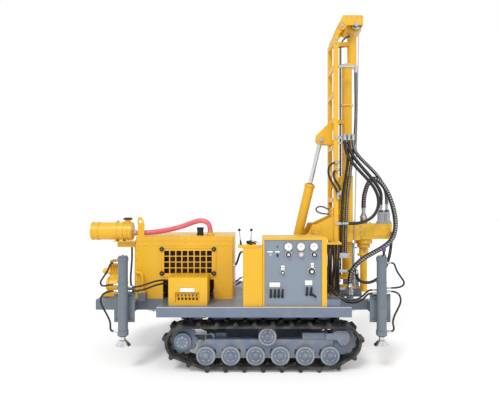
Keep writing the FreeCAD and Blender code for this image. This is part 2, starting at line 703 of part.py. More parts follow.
def mast_rail(side):
    """Box rail of one side, with its neck up to the crown."""
    y = (side * RAIL_Y[0], side * RAIL_Y[1])
    column = rounded(box(RAIL_X, y, (MAST_LOW, MAST_TOP)), 5.0, V(0, 0, 1))
    outline = ((RAIL_X[0] + 15, MAST_TOP - 40), (RAIL_X[1] - 4, MAST_TOP - 40), (RAIL_X[1] - 4, MAST_TOP + 5),
               (BOSS_X, MAST_TOP + 80), (BOSS_X + 19, BOSS_Z), (BOSS_X, BOSS_Z + 26),
               (BOSS_X - 31, BOSS_Z + 26), (RAIL_X[0] + 15, MAST_TOP + 40))
    neck = side_plate(outline, side * NECK[0], side * NECK[1])
    return join(column, neck)


def mast_arms():
    """Two plates from the rails back to the tilt pivot, bushed for its pins."""
    arms = []
    for side in (-1, 1):
        outline = ((PIVOT_X, 1470), (RAIL_X[0], 1380), (RAIL_X[0], 1700), (PIVOT_X, 1590))
        arm = join(side_plate(outline, side * ARM_Y[0], side * ARM_Y[1]),
                   across(60.0, PIVOT_X, PIVOT_Z, side * ARM_Y[0], side * ARM_Y[1]))
        arms.append(arm.cut(across(PIVOT_PIN_R + RUN_FIT, PIVOT_X, PIVOT_Z, -240, 240)))
    return arms


def mast_ties():
    """Cross-plates between the rails, with the rope's anchor plate on the lowest."""
    ties = [box(TIE_X, (-RAIL_Y[0], RAIL_Y[0]), (z, z + TIE_HIGH)) for z in TIES]
    foot = box(TIE_X, (-RAIL_Y[0], RAIL_Y[0]), (MAST_LOW, MAST_LOW + TIE_HIGH))
    anchor = box((TIE_X[1], ROPE_END.x + 25), (ROPE_Y - 5, ROPE_Y + 5), (MAST_LOW, 850))
    anchor = anchor.cut(across(9.0, ROPE_END.x, HOOK_EYE_Z, ROPE_Y - 10, ROPE_Y + 10))
    return ties + [foot, anchor]


def mast_eye_bracket():
    """Open clevis behind the mast that the tilt cylinder's eye pushes into."""
    x, z = CYL_EYE.x, CYL_EYE.z
    outline = ((RAIL_X[0], z - 60), (RAIL_X[0], z + 240), (x + 70, z + 190), (x - 50, z + 72),
               (x - 62, z - 6), (x - 30, z - 50))
    pieces = [box(TIE_X, (-RAIL_Y[0], RAIL_Y[0]), (z + low, z + low + 50)) for low in (-60, 130)]
    for side in (-1, 1):
        pieces.append(side_plate(outline, side * 36, side * 56))
        pieces.append(across(36.0, x, z, side * 56, side * 66))
    return join(*pieces)


def crown_cheek(y0, y1):
    """Cheek of the crown: a long box outline that ends in a round boss at the rails."""
    low, high = CROWN_Z
    centre = V(BOSS_X, y0, BOSS_Z)
    corner = 14.0
    points = (V(BOSS_X + 39, y0, BOSS_Z - 39), V(BOSS_X - 52, y0, BOSS_Z - 18), V(BOSS_X + 9, y0, high),
              V(CROWN_END_X - corner, y0, high), V(CROWN_END_X, y0, high - corner),
              V(CROWN_END_X, y0, low), V(BOSS_X + 60, y0, low))
    bulge = Part.Arc(points[0], centre.add(V(-21, 0, -51)), points[1]).toShape()
    sides = [Part.makeLine(a, b) for a, b in zip(points[1:], points[2:] + points[:1])]
    face = Part.Face(Part.Wire([bulge] + sides))
    return face.extrude(V(0, y1 - y0, 0))


def mast_crown():
    """Crown of the mast: two cheeks under a top plate, with the ribs that carry sheave and chain."""
    low, high = CROWN_Z
    pieces = [box((BOSS_X + 10, CROWN_END_X - 14), (-CROWN_Y[1], CROWN_Y[1]), (high - 8, high)),
              box((CROWN_END_X - 8, CROWN_END_X), (-CROWN_Y[1], CROWN_Y[1]), (low, high - 14)),
              box((1257, 1433), (-120, 120), (CHAIN_TURN_Z + CHAIN_TURN_R, low + 12)),
              across(14.0, SHEAVE_X, SHEAVE_Z, -CROWN_Y[1], -112)]
    for side in (-1, 1):
        pieces.append(crown_cheek(side * CROWN_Y[0], side * CROWN_Y[1]))
        pieces.append(across(20.0, BOSS_X, BOSS_Z, side * CROWN_Y[0], side * (CROWN_Y[1] + 8)))
        pieces.append(box((1257, 1433), (side * 112, side * 120), (low, high - 8)))
    return join(*pieces)


def crown_sheave():
    """Rope sheave inside the crown."""
    width = 11.0
    wheel_body = across(SHEAVE_R + 17, SHEAVE_X, SHEAVE_Z, ROPE_Y - width, ROPE_Y + width)
    outside = across(SHEAVE_R + 30, SHEAVE_X, SHEAVE_Z, ROPE_Y - 7, ROPE_Y + 7)
    groove = outside.cut(across(SHEAVE_R, SHEAVE_X, SHEAVE_Z, ROPE_Y - 7, ROPE_Y + 7))
    bore = across(14.0 + RUN_FIT, SHEAVE_X, SHEAVE_Z, ROPE_Y - 20, ROPE_Y + 20)
    return wheel_body.cut([groove, bore])


def feed_chain():
    """Feed chain from the crown round its guide and down to the mast's foot: a wave of link plates."""
    turn = Part.makeCylinder(CHAIN_TURN_R, 2 * CHAIN_Y, V(CROWN_CHAIN_X, -CHAIN_Y, CHAIN_TURN_Z),
                             V(0, 1, 0), 360)
    hole = Part.makeCylinder(CHAIN_TURN_R - 21, 2 * CHAIN_Y, V(CROWN_CHAIN_X, -CHAIN_Y, CHAIN_TURN_Z),
                             V(0, 1, 0), 360)
    quarter = box((CHAIN_X[0] - 5, CROWN_CHAIN_X + 12), (-CHAIN_Y, CHAIN_Y),
                  (CHAIN_TURN_Z, CHAIN_TURN_Z + CHAIN_TURN_R))
    arch = turn.cut(hole).common(quarter)
    count = int((CHAIN_TURN_Z - MAST_LOW - TIE_HIGH) // CHAIN_PITCH)
    low = CHAIN_TURN_Z - count * CHAIN_PITCH
    left = [(CHAIN_X[0] + dip, low + (i + share) * CHAIN_PITCH) for i in range(count)
            for dip, share in ((0, 0), (0, 0.7), (5, 0.75), (5, 0.95))] + [(CHAIN_X[0], CHAIN_TURN_Z)]
    right = [(CHAIN_X[0] + CHAIN_X[1] - x, z) for x, z in reversed(left)]
    return join(arch, side_plate(left + right, -CHAIN_Y, CHAIN_Y),
                box((TIE_X[1], CHAIN_X[1]), (-CHAIN_Y, CHAIN_Y), (low - 30, low)))


def winch_rope():
    """Winch rope from the sheave down to its anchor at the mast's foot."""
    return rod(ROPE_R, ROPE_TOP, ROPE_END)


def rope_hook():
    """Swivel and ring at the rope's end."""
    body = upright(16.0, ROPE_END.x, ROPE_Y, 862, ROPE_END.z - RUN_FIT)
    ring = Part.makeTorus(18, 5, V(ROPE_END.x, ROPE_Y, HOOK_EYE_Z + 18), V(1, 0, 0))
    return join(body, ring)


def feed_cylinder():
    """Feed cylinder in front of the mast, clamped to it by pairs of plates, and its upper tube."""
    shoulder = FEED_SHOULDER_Z
    pieces = [
        upright(FEED_R, FEED_X, 0, TIE_FIRST + 20, shoulder + 30),
        upright(FEED_R + 8, FEED_X, 0, MAST_TOP - 820, MAST_TOP - 796),
        upright(FEED_R + 8, FEED_X, 0, shoulder + 4, shoulder + 30),
        upright(FEED_UPPER_R, FEED_UPPER_X, 0, shoulder - 12, MAST_TOP + 48),
    ]
    for z in FEED_CLAMPS:
        for side in (-1, 1):
            gusset = ((TIE_X[1], z), (TIE_X[1], z + TIE_HIGH), (FEED_UPPER_X - 30, z + TIE_HIGH),
                      (FEED_UPPER_X - 30, z + 20))
            pieces.append(side_plate(gusset, side * 26, side * 38))
    return join(*pieces)


def on_cylinder(length):
    """Point on the tilt cylinder's middle line, from its foot pin."""
    along = CYL_EYE.sub(CYL_BASE)
    return CYL_BASE.add(along.normalize().multiply(length))


def tilt_barrel():
    """Barrel of the tilt cylinder with its foot eye."""
    eye = across(50.0, CYL_BASE.x, CYL_BASE.z, -30, 30)
    neck = rod(28.0, CYL_BASE, on_cylinder(90))
    barrel = rod(CYL_R, on_cylinder(80), on_cylinder(CYL_GLAND))
    gland = rod(CYL_R + 6, on_cylinder(CYL_GLAND - 40), on_cylinder(CYL_GLAND))
    bore = rod(CYL_ROD_R + RUN_FIT, on_cylinder(140), on_cylinder(CYL_GLAND + 5))
    hole = across(CYL_PIN_R + RUN_FIT, CYL_BASE.x, CYL_BASE.z, -40, 40)
    return join(eye, neck, barrel, gland).cut([bore, hole])


def tilt_rod():
    """Chromed rod of the tilt cylinder with its eye, drawn out."""
    total = CYL_EYE.distanceToPoint(CYL_BASE)
    shaft = rod(CYL_ROD_R, on_cylinder(total - CYL_ROD_LENGTH), CYL_EYE)
    eye = across(45.0, CYL_EYE.x, CYL_EYE.z, -30, 30)
    return join(shaft, eye)


# Rotary head on its carriage, and the spindle

SHOES = (1390.0, 1720.0, 2050.0)


def head_carriage():
    """Shoes on the mast's rails, tall cheeks in front of them and arms out to the gearbox."""
    halves = []
    for side in (-1, 1):
        cheek = (side * 165, side * 177)
        pieces = [box((1158, 1320), cheek, (1380, 2200)),
                  box((1292, 1320), (side * 100, side * 177), (1400, 1620)),
                  box((1320, HEAD_X[0]), (side * 100, side * 150), (1400, 1620))]
        for z in SHOES:
            face = RAIL_X[1] + RUN_FIT
            pieces.append(box((face, 1160), (side * 165, side * (RAIL_Y[0] + 12)), (z, z + 60)))
            pieces.append(box((TIE_X[1] + 6, 1160), (side * 165, side * (RAIL_Y[0] - RUN_FIT)), (z, z + 60)))
        halves.append(join(*pieces))
    return halves


def head_gearbox():
    """Gearbox with the flange that carries the spindle."""
    case = rounded(box(HEAD_X, (-HEAD_Y, HEAD_Y), (HEAD_LOW, HEAD_TOP)), 16.0, V(0, 1, 0))
    web = box((HEAD_X[0], HEAD_X[0] + 40), (-140, 140), (HEAD_LOW + 20, HEAD_TOP - 20))
    end_x = HEAD_END_X - 60
    nose = join(upright(60.0, end_x, 0, 1450, HEAD_TOP),
                box((HEAD_X[1] - 40, end_x), (-60, 60), (1450, HEAD_TOP)))
    flange = upright(109.0, SPINDLE_X, 0, HEAD_LOW - 60, HEAD_LOW + 10)
    bore = upright(45.0 + RUN_FIT, SPINDLE_X, 0, HEAD_LOW - 70, 1500)
    return join(case, web, nose, flange).cut(bore)


def head_motors():
    """Two hydraulic motors that stand on the gearbox."""
    motors = []
    for x, y in ((1700, -66), (1802, 30)):
        motors.append(join(box((x - 52, x + 52), (y - 45, y + 45), (HEAD_TOP, HEAD_TOP + 20)),
                           upright(44.0, x, y, HEAD_TOP + 20, HEAD_TOP + 150),
                           upright(30.0, x, y, HEAD_TOP + 150, 1770)))
    return motors


def air_swivel():
    """Swivel on top of the gearbox that leads the flushing air into the spindle."""
    return join(upright(46.0, SPINDLE_X, 0, HEAD_TOP, HEAD_TOP + 90),
                upright(32.0, SPINDLE_X, 0, HEAD_TOP + 90, HEAD_TOP + 125),
                upright(22.0, SPINDLE_X, 0, HEAD_TOP + 125, 1797))


def spindle():
    """Drive spindle with its chuck and the socket for the drill string."""
    shaft = upright(45.0, SPINDLE_X, 0, 1200, 1495)
    collar = upright(84.0, SPINDLE_X, 0, 1300, HEAD_LOW - 66)
    chuck = upright(70.0, SPINDLE_X, 0, 1160, 1300)
    tube = upright(SPINDLE_R, SPINDLE_X, 0, SPINDLE_LOW, 1160)
    socket = upright(SPINDLE_BORE_R, SPINDLE_X, 0, SPINDLE_LOW - 1, SPINDLE_LOW + 90)
    return join(shaft, collar, chuck, tube).cut(socket)


# Hoses: straight runs joined by tangent arcs, in the order in which the oil or air flows


def hose(name, radius, route):
    """Tube along a route of points, with arcs as large as its runs allow."""
    points = [V(*p) for p in route]
    edges = []
    start = points[0]
    radii = []
    for before, corner, after in zip(points, points[1:], points[2:]):
        run_in = corner.sub(before)
        run_out = after.sub(corner)
        turn = run_in.getAngle(run_out)
        cut = 0.45 * min(run_in.Length, run_out.Length)
        radii.append(cut / math.tan(turn / 2))
        run_in.normalize()
        run_out.normalize()
        first = corner.sub(V(run_in).multiply(cut))
        last = corner.add(V(run_out).multiply(cut))
        inward = V(run_out).sub(run_in).normalize()
        sag = radii[-1] * (1 / math.cos(turn / 2) - 1)
        middle = corner.add(inward.multiply(sag))
        edges.append(Part.LineSegment(start, first).toShape())
        edges.append(Part.Arc(first, middle, last).toShape())
        start = last
    edges.append(Part.LineSegment(start, points[-1]).toShape())
    path = Part.Wire(edges)
    tangent = points[1].sub(points[0])
    ring = Part.Wire([Part.makeCircle(radius, points[0], tangent)])
    tube = path.makePipeShell([ring], True, False)
    length = path.Length
    error = tube.Volume / (math.pi * radius ** 2 * length) - 1
    print("%s length %.0f mm, smallest radius %.0f mm, volume error %.4f"
          % (name, length, min(radii), error))
    return tube


AIR_R = 25.0
AIR_ROUTE = (
    (1257, -285, 885), (1257, -285, 970), (1294, -285, 1064), (1392, -280, 1168), (1541, -270, 1252),
    (1694, -250, 1330), (1812, -220, 1430), (1849, -205, 1591), (1820, -200, 1790), (1764, -190, 1965),
    (1690, -165, 2105), (1607, -122, 2180), (1546, -72, 2137), (1512, -24, 2020), (1497, 0, 1905),
    (1497, 0, 1797),
)
HEAD_HOSE_R = 19.0
HOSE_TOP_Z = 2630.0
HOSE_TOP_Y = -270.0
HOSE_TOP_XS = (1200.0, 1250.0, 1300.0)
DRAIN_ROUTE = (
    (1200, -270, 2630), (1200, -270, 2545), (1240, -272, 2430), (1320, -276, 2320), (1425, -280, 2205),
    (1540, -275, 2085), (1612, -262, 1950), (1618, -258, 1815), (1560, -262, 1705), (1462, -270, 1640),
    (1350, -273.3, 1612), (1240, -273.3, 1612),
)
MOTOR_A_ROUTE = (
    (1250, -270, 2630), (1250, -270, 2550), (1296, -270, 2440), (1385, -268, 2330), (1490, -262, 2215),
    (1592, -250, 2095), (1662, -185, 2000), (1694, -105, 1945), (1700, -66, 1895), (1700, -66, 1840),
)
MOTOR_B_ROUTE = (
    (1300, -270, 2630), (1300, -270, 2560), (1345, -264, 2465), (1430, -240, 2380), (1540, -195, 2290),
    (1655, -120, 2190), (1740, -50, 2085), (1788, 10, 1985), (1802, 30, 1910), (1802, 30, 1850),
)
CASE_ROUTE = (
    (1345, -270, 1000), (1345, -270, 950), (1400, -264, 900), (1500, -250, 880), (1612, -232, 925),
    (1700, -215, 1030), (1758, -200, 1160), (1792, -170, 1290), (1812, -125, 1370), (1812, -125, 1420),
)
MAST_HOSE_R = 17.0
MAST_A_ROUTE = (
    (1345, -222, 3468), (1345, -222, 3300), (1349, -222, 3100), (1346, -222, 2880), (1336, -222, 2660),
    (1308, -222, 2440), (1272, -222, 2220), (1246, -222, 2000), (1230, -222, 1780), (1222, -222, 1570),
    (1216, -222, 1400), (1216, -222, 1250),
)
MAST_B_ROUTE = (
    (1250, -222, 2530), (1250, -222, 2410), (1230, -222, 2240), (1198, -222, 2050), (1180, -222, 1850),
    (1170, -222, 1640), (1165, -222, 1440), (1165, -222, 1250),
)
SMALL_R = 8.0
JACK_HOSES = (
    ((1600, -800, 928), (1652, -800, 928), (1728, -800, 944), (1752, -800, 988), (1716, -800, 1040),
     (1676, -800, 1096), (1652, -800, 1150), (1640, -800, 1190), (1618, -800, 1205), (1600, -800, 1205)),
    ((1600, -800, 889), (1650, -800, 889), (1702, -800, 846), (1712, -800, 772), (1676, -800, 694),
     (1636, -800, 618), (1618, -800, 540), (1634, -800, 492), (1630, -800, 462), (1616, -800, 450),
     (1600, -800, 450)),
    ((-1465, -800, 962), (-1518, -800, 962), (-1590, -800, 944), (-1618, -800, 986), (-1584, -800, 1040),
     (-1545, -800, 1096), (-1518, -800, 1150), (-1505, -800, 1190), (-1483, -800, 1205),
     (-1465, -800, 1205)),
    ((-1465, -800, 894), (-1516, -800, 894), (-1600, -800, 850), (-1614, -800, 772), (-1576, -800, 694),
     (-1530, -800, 618), (-1500, -800, 540), (-1503, -800, 492), (-1498, -800, 463), (-1482, -800, 450),
     (-1465, -800, 450)),
)
LINK_HOSES = (
    ((-1259, -800, 939), (-1200, -800, 939), (-1120, -775, 960), (-1035, -725, 986), (-955, -668, 992),
     (-915, -640, 985), (-875, -640, 985)),
    ((-1259, -800, 894), (-1196, -800, 894), (-1115, -770, 910), (-1030, -710, 940), (-955, -640, 948),
     (-915, -600, 940), (-875, -600, 940)),
    ((893, -600, 930), (938, -600, 930), (1000, -625, 870), (1080, -655, 800), (1190, -690, 752),
     (1290, -742, 812), (1336, -784, 880), (1361, -800, 905), (1394, -800, 905)),
    ((893, -560, 890), (940, -560, 890), (1010, -580, 822), (1100, -610, 750), (1205, -655, 722),
     (1295, -725, 770), (1337, -778, 842), (1361, -800, 868), (1394, -800, 868)),
)
BUNDLE_R = 12.0
BUNDLE_XS = (925.0, 970.0, 1015.0, 1060.0, 1105.0)
BUNDLE_Y = -400.0
INTAKE_ROUTE = (
    (-1335, -330, 1503), (-1245, -330, 1503), (-1110, -310, 1512), (-950, -285, 1536), (-800, -262, 1572),
    (-680, -245, 1617), (-580, -236, 1650), (-500, -231, 1640), (-447, -230, 1580), (-447, -230, 1503),
)


def hoses(prefix, radius, routes):
    """Several hoses of one size."""
    return [hose("%s %d" % (prefix, i + 1), radius, route) for i, route in enumerate(routes)]


def intake_hose():
    """Wire-wound intake hose from the air cleaner to the hood's roof."""
    return hose("intake hose", INTAKE_R, INTAKE_ROUTE)


def head_hoses():
    """Air hose, drain hose, motor hoses and case hose that hang from the head."""
    routes = (DRAIN_ROUTE, MOTOR_A_ROUTE, MOTOR_B_ROUTE, CASE_ROUTE)
    return [hose("air hose", AIR_R, AIR_ROUTE)] + hoses("head hose", HEAD_HOSE_R, routes)


def head_hose_ends():
    """Steel ferrules on the far ends of the head's hoses, which the mast's clamps hold."""
    radius = HEAD_HOSE_R + 2
    tops = [upright(radius, x, HOSE_TOP_Y, HOSE_TOP_Z, HOSE_TOP_Z + 75) for x in HOSE_TOP_XS]
    drain = rod(radius, V(1240, -273.3, 1612), V(1170, -273.3, 1612))
    case = upright(radius, 1345, -270, 1000, 1052)
    return tops + [drain, case]


def head_ports():
    """Ports of the head: two on the motors, an elbow on the gearbox's end and the air swivel."""
    motor_a = upright(HEAD_HOSE_R, 1700, -66, 1770, 1840)
    motor_b = upright(HEAD_HOSE_R, 1802, 30, 1770, 1850)
    block = box((HEAD_X[1] + RUN_FIT, ELBOW_X + 22), (-145, -60 - RUN_FIT), (1460, 1500))
    elbow = join(block, upright(HEAD_HOSE_R, ELBOW_X, -125, 1420, 1460))
    return motor_a, motor_b, elbow, air_swivel()


def mast_hoses():
    """Two hoses held along the near side of the mast."""
    return hoses("mast hose", MAST_HOSE_R, (MAST_A_ROUTE, MAST_B_ROUTE))


def mast_ports():
    """Ports, hose clamps and the air inlet on the mast's near side."""
    face = -RAIL_Y[1]
    front = RAIL_X[1]
    port_r = MAST_HOSE_R + 3
    clamp_x = RAIL_X[0] + 10
    clamp_face = HOSE_TOP_Y + HEAD_HOSE_R + 2 + RUN_FIT
    high = join(box((front, 1372), (-242, -206), (3530, 3556)), upright(port_r, 1345, -222, 3468, 3530))
    second = join(box((front, 1272), (-242, -206), (2590, 2610)), upright(port_r, 1250, -222, 2530, 2590))
    clamp = box((clamp_x, 1316), (clamp_face, face), (2650, 2685))
    foot = box((front, 1262), (-246, -200), (1190, 1250))
    inlet = join(box((clamp_x, 1245), (-252, face), (800, 830)), box((1225, 1260), (-300, face), (800, 830)),
                 upright(AIR_R + 6, 1257, -285, 745, 850), upright(AIR_R, 1257, -285, 850, 885),
                 upright(AIR_R + 12, 1257, -285, 780, 812))
    case_clamp = box((clamp_x, 1365), (clamp_face, face), (1012, 1048))
    drain_clamp = join(box((clamp_x, front), (-252, face), (1596, 1628)),
                       box((clamp_x, 1232), (-252, -244), (1596, 1628)))
    return high, clamp, second, foot, inlet, case_clamp, drain_clamp


def jack_hoses():
    """Small hoses that loop along the near jacks, and those that link them to the valves."""
    return hoses("jack hose", SMALL_R, JACK_HOSES) + hoses("link hose", SMALL_R, LINK_HOSES)


def console_hoses():
    """Hoses that drop behind the console's post from a bracket to a manifold."""
    routes = []
    for i, x in enumerate(BUNDLE_XS):
        sway = 14 if i % 2 else -12
        routes.append(((x, BUNDLE_Y, 1370), (x, BUNDLE_Y, 1290), (x + sway, BUNDLE_Y - 4, 1160),
                       (x - 5, BUNDLE_Y + 3, 1030), (x + sway / 2, BUNDLE_Y, 910), (x, BUNDLE_Y, 820),
                       (x, BUNDLE_Y, 760)))
    return hoses("console hose", BUNDLE_R, routes)


def console_brackets():
    """Bracket on the console's side and manifold on the deck that hold its hoses."""
    strip = box((CONSOLE_X[1], 1130), (BUNDLE_Y - 30, BUNDLE_Y + 14), (1370, 1394))
    manifold = box((905, 1125), (BUNDLE_Y - 40, BUNDLE_Y + 24), (DECK_TOP, 760))
    return strip, manifold


os.makedirs("parts", exist_ok=True)

for name, side in SIDES:
    save("track_" + name, track(side))
    save("track_frame_" + name, track_frame(side))
    save("rollers_" + name, *rollers(side))
    save("idler_" + name, idler(side))
    save("jack_rod_tail_" + name, jack_rod(JACK_TAIL_X, side))
    save("jack_rod_drill_" + name, jack_rod(JACK_DRILL_X, side))
    save("grille_door_" + name, grille_door(side))

save("sprockets", sprocket(-1), sprocket(1))
save("jack_tubes", *[jack_tube(x, side) for x in (JACK_TAIL_X, JACK_DRILL_X) for name, side in SIDES])
save("cross_frame", cross_frame())
save("chassis_rails", chassis_rails())
save("deck", join(deck(), step_box()))
save("outrigger_beams", *outrigger_beams())
save("hood", hood())
save("engine", engine())
save("radiator", radiator())
save("air_cleaner", air_cleaner())
save("cleaner_bracket", cleaner_bracket(), lifting_hook())
save("hood_fittings", exhaust(), intake_port())
save("valve_box", valve_box())
save("oil_tank", oil_tank())
save("console_cabinet", console_cabinet())
save("console_panel", console_panel())
save("console_gauges", *console_gauges())
save("hand_levers", *valve_levers(), travel_levers(), *console_levers())
save("tail_pump", tail_pump())
save("mast_support", mast_support())
save("mast_rail_right", mast_rail(-1))
save("mast_rail_left", mast_rail(1))
save("mast_arms", *mast_arms())
save("mast_ties", *mast_ties())
save("mast_eye_bracket", mast_eye_bracket())
save("mast_crown", mast_crown())
save("crown_sheave", crown_sheave())
save("feed_chain", feed_chain())
save("winch_rope", winch_rope())
save("rope_hook", rope_hook())
save("feed_cylinder", feed_cylinder())
save("tilt_barrel", tilt_barrel())
save("tilt_rod", tilt_rod())
save("head_carriage", *head_carriage())
save("head_gearbox", head_gearbox())
save("head_motors", *head_motors())
save("spindle", spindle())
save("intake_hose", intake_hose())
save("head_hoses", *head_hoses())
save("head_hose_ends", *head_hose_ends())
save("head_ports", *head_ports())
save("mast_hoses", *mast_hoses())
save("mast_ports", *mast_ports())
save("jack_hoses", *jack_hoses())
save("console_hoses", *console_hoses())
save("console_brackets", *console_brackets())
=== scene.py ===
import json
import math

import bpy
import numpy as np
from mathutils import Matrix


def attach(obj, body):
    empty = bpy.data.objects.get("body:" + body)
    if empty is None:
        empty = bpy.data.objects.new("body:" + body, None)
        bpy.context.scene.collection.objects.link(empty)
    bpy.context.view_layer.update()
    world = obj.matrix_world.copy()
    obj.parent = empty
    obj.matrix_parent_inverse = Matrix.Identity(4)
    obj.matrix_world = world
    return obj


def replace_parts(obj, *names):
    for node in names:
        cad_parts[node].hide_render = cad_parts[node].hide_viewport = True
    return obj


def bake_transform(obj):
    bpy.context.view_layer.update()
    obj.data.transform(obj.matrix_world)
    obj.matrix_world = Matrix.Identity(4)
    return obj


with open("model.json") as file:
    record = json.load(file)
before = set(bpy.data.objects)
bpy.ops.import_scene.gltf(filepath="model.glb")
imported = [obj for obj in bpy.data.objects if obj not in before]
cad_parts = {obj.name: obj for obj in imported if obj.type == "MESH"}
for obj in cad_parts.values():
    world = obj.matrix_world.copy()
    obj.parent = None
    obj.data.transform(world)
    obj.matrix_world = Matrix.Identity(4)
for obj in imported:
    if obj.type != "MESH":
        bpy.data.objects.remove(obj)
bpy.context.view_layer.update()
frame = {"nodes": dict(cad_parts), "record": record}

# %% [markdown]
# # A crawler-mounted well drilling rig
# The rigid parts of the rig arrive from the CAD model as one fixed frame, in metres, with +X to
# the drill end and +Z up. This script dresses them: paint, rubber, hoses, gauges, screws and the
# studio they stand in.

nodes = frame["nodes"]

# %% [markdown]
# ## Camera
# The rig is seen square from the operator's side, from nearly six metres away, with the camera
# level at 1.9 m. A tilted camera would make the mast lean in the picture, so it stays level, and
# its place and lens alone decide how the rig fills the picture.

# %% Camera
CAMERA_PLACE = (0.042, -5.83, 1.90)
LENS_MM = 32.76
SENSOR_MM = 36.0

lens = bpy.data.cameras.new("camera")
lens.lens = LENS_MM
lens.sensor_width = SENSOR_MM
camera = bpy.data.objects.new("camera", lens)
camera.location = CAMERA_PLACE
camera.rotation_euler = (math.pi / 2, 0.0, 0.0)
bpy.context.scene.collection.objects.link(camera)
bpy.context.scene.camera = camera
print("camera", tuple(camera.location), "lens", lens.lens)

# %% [markdown]
# ## A mesh from arrays
# Every added piece is a grid of points worked out with numpy: rings of points, one after the
# other. One helper turns such a grid into faces, closes it where asked, and checks by the signed
# volume that the faces point outwards, so no piece ends up inside out.

# %% Faces of a grid, and rings
def grid_faces(rows, columns, wrap=True):
    """Corners of the cells of a grid numbered row by row; wrap joins the last column to the first."""
    row = np.arange(rows - 1)[:, None] * columns
    column = np.arange(columns if wrap else columns - 1)[None, :]
    following = (column + 1) % columns
    return np.stack([row + column, row + following, row + columns + following,
                     row + columns + column], axis=-1).reshape(-1, 4)


def rings_shape(rings):
    """Closed shape of rings of points, an array (rings, points, 3): side quads and two end caps.

    The sign of the sum of (a x b) . c over the faces tells whether they point outwards."""
    rings = np.asarray(rings, float)
    count, around = rings.shape[:2]
    points = rings.reshape(-1, 3)
    sides = grid_faces(count, around)
    a, b, c, d = (points[sides[:, i]] - points.mean(0) for i in range(4))
    volume = (np.einsum("ij,ij->i", np.cross(a, b), c) + np.einsum("ij,ij->i", np.cross(a, c), d)).sum()
    low, high = list(range(around))[::-1], list(range((count - 1) * around, count * around))
    if volume < 0:
        sides, low, high = sides[:, ::-1], low[::-1], high[::-1]
    return points, [list(face) for face in sides] + [low, high]


print("cells between two rings of six", len(grid_faces(2, 6)))

# %% [markdown]
# A shape is only points and faces, so it can be turned, moved, repeated and joined to others as
# arrays, before Blender knows of it. That is faster than moving objects about, and it leaves the
# finished object at the origin.

# %% Placing, repeating and joining shapes
def placed(shape, origin=(0, 0, 0), axis=(0, 0, 1), side=None):
    """Shape turned so that its z runs along axis and its x as near side as it can, then moved."""
    points, faces = shape
    z = np.array(axis, float) / np.linalg.norm(axis)
    if side is None:
        side = (1, 0, 0) if abs(z[0]) < 0.9 else (0, 1, 0)
    x = np.array(side, float) - z * np.dot(side, z)
    x /= np.linalg.norm(x)
    turn = np.array([x, np.cross(z, x), z])
    return points @ turn + np.array(origin, float), faces


def copies(shape, origins, axis=(0, 0, 1), side=None):
    """The same shape set at several origins, as one shape."""
    points, faces = placed(shape, (0, 0, 0), axis, side)
    origins = np.asarray(origins, float)
    everywhere = (points[None] + origins[:, None]).reshape(-1, 3)
    return everywhere, [[i + k * len(points) for i in face] for k in range(len(origins)) for face in faces]


def together(*shapes):
    """Several shapes as one."""
    points, faces, start = [], [], 0
    for shape in shapes:
        points.append(shape[0])
        faces += [[i + start for i in face] for face in shape[1]]
        start += len(shape[0])
    return np.concatenate(points), faces


SMOOTH_ANGLE = math.radians(32)


def piece(name, shape, finish, body="chassis", smooth=True):
    """Object of a shape, in the rig's own frame, with its finish and the body it moves with."""
    mesh = bpy.data.meshes.new(name)
    mesh.from_pydata(shape[0].tolist(), [], shape[1])
    mesh.materials.append(finish)
    if smooth:
        mesh.shade_smooth()
        mesh.set_sharp_from_angle(angle=SMOOTH_ANGLE)
    made = bpy.data.objects.new(name, mesh)
    bpy.context.scene.collection.objects.link(made)
    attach(made, body)
    return made


print("edges sharper than", round(math.degrees(SMOOTH_ANGLE)), "degrees stay sharp")

# %% [markdown]
# Two forms make most of the small parts: a profile turned about an axis, and a flat plate with
# rounded corners. A small bevel at the plate's rim catches the light, as a real edge does.

# %% Turned forms and plates
def about_z(radius, angle, height):
    """Points (r cos t, r sin t, h): every row of radii and its height, at every angle t."""
    x, y = radius * np.cos(angle), radius * np.sin(angle)
    return np.stack(np.broadcast_arrays(x, y, height[:, None]), axis=-1)


def turned(profile, around=32):
    """Turned form: each row (radius, height) of the profile becomes a circle about z."""
    radius, height = np.asarray(profile, float).T
    angle = np.arange(around) * 2 * math.pi / around
    return rings_shape(about_z(radius[:, None], angle, height))


def outline(width, height, corner, steps=4):
    """Rounded rectangle about the origin: quarter circles of radius corner, one after the other."""
    quarter = np.linspace(0, math.pi / 2, steps)
    angle = np.concatenate([quarter + k * math.pi / 2 for k in range(4)])
    centre = np.repeat([(1, 1), (-1, 1), (-1, -1), (1, -1)], steps, axis=0)
    return centre * (width / 2 - corner, height / 2 - corner) + corner * np.stack(
        [np.cos(angle), np.sin(angle)], axis=-1)


def plate(width, height, thick, corner=0.002, edge=0.0008):
    """Flat plate with rounded corners and a small bevel: the same outline, drawn in at both faces."""
    rings = []
    for z, inset in ((0, 0), (thick - edge, 0), (thick, edge)):
        ring = outline(width - 2 * inset, height - 2 * inset, max(corner - inset, 1e-4))
        rings.append(np.column_stack([ring, np.full(len(ring), z)]))
    return rings_shape(rings)


print("corners of a plate", len(plate(0.1, 0.05, 0.002)[0]))

# %% [markdown]
# ## Studio
# The rig stands on a pale floor in a white room. The world is brighter to the camera and to
# reflections than it is as a light, so that the background comes out white while the rig's shadow
# keeps its depth.

# %% World and the lamps' values
WORLD_STRENGTH = 0.62
FLOOR_SIZE = 60.0
SUN_STRENGTH = 1.4
SUN_TURNS = {"key": ((math.radians(46), 0.0, math.radians(-24)), SUN_STRENGTH, 0.35),
             "fill": ((math.radians(62), 0.0, math.radians(40)), 0.55, 0.9)}


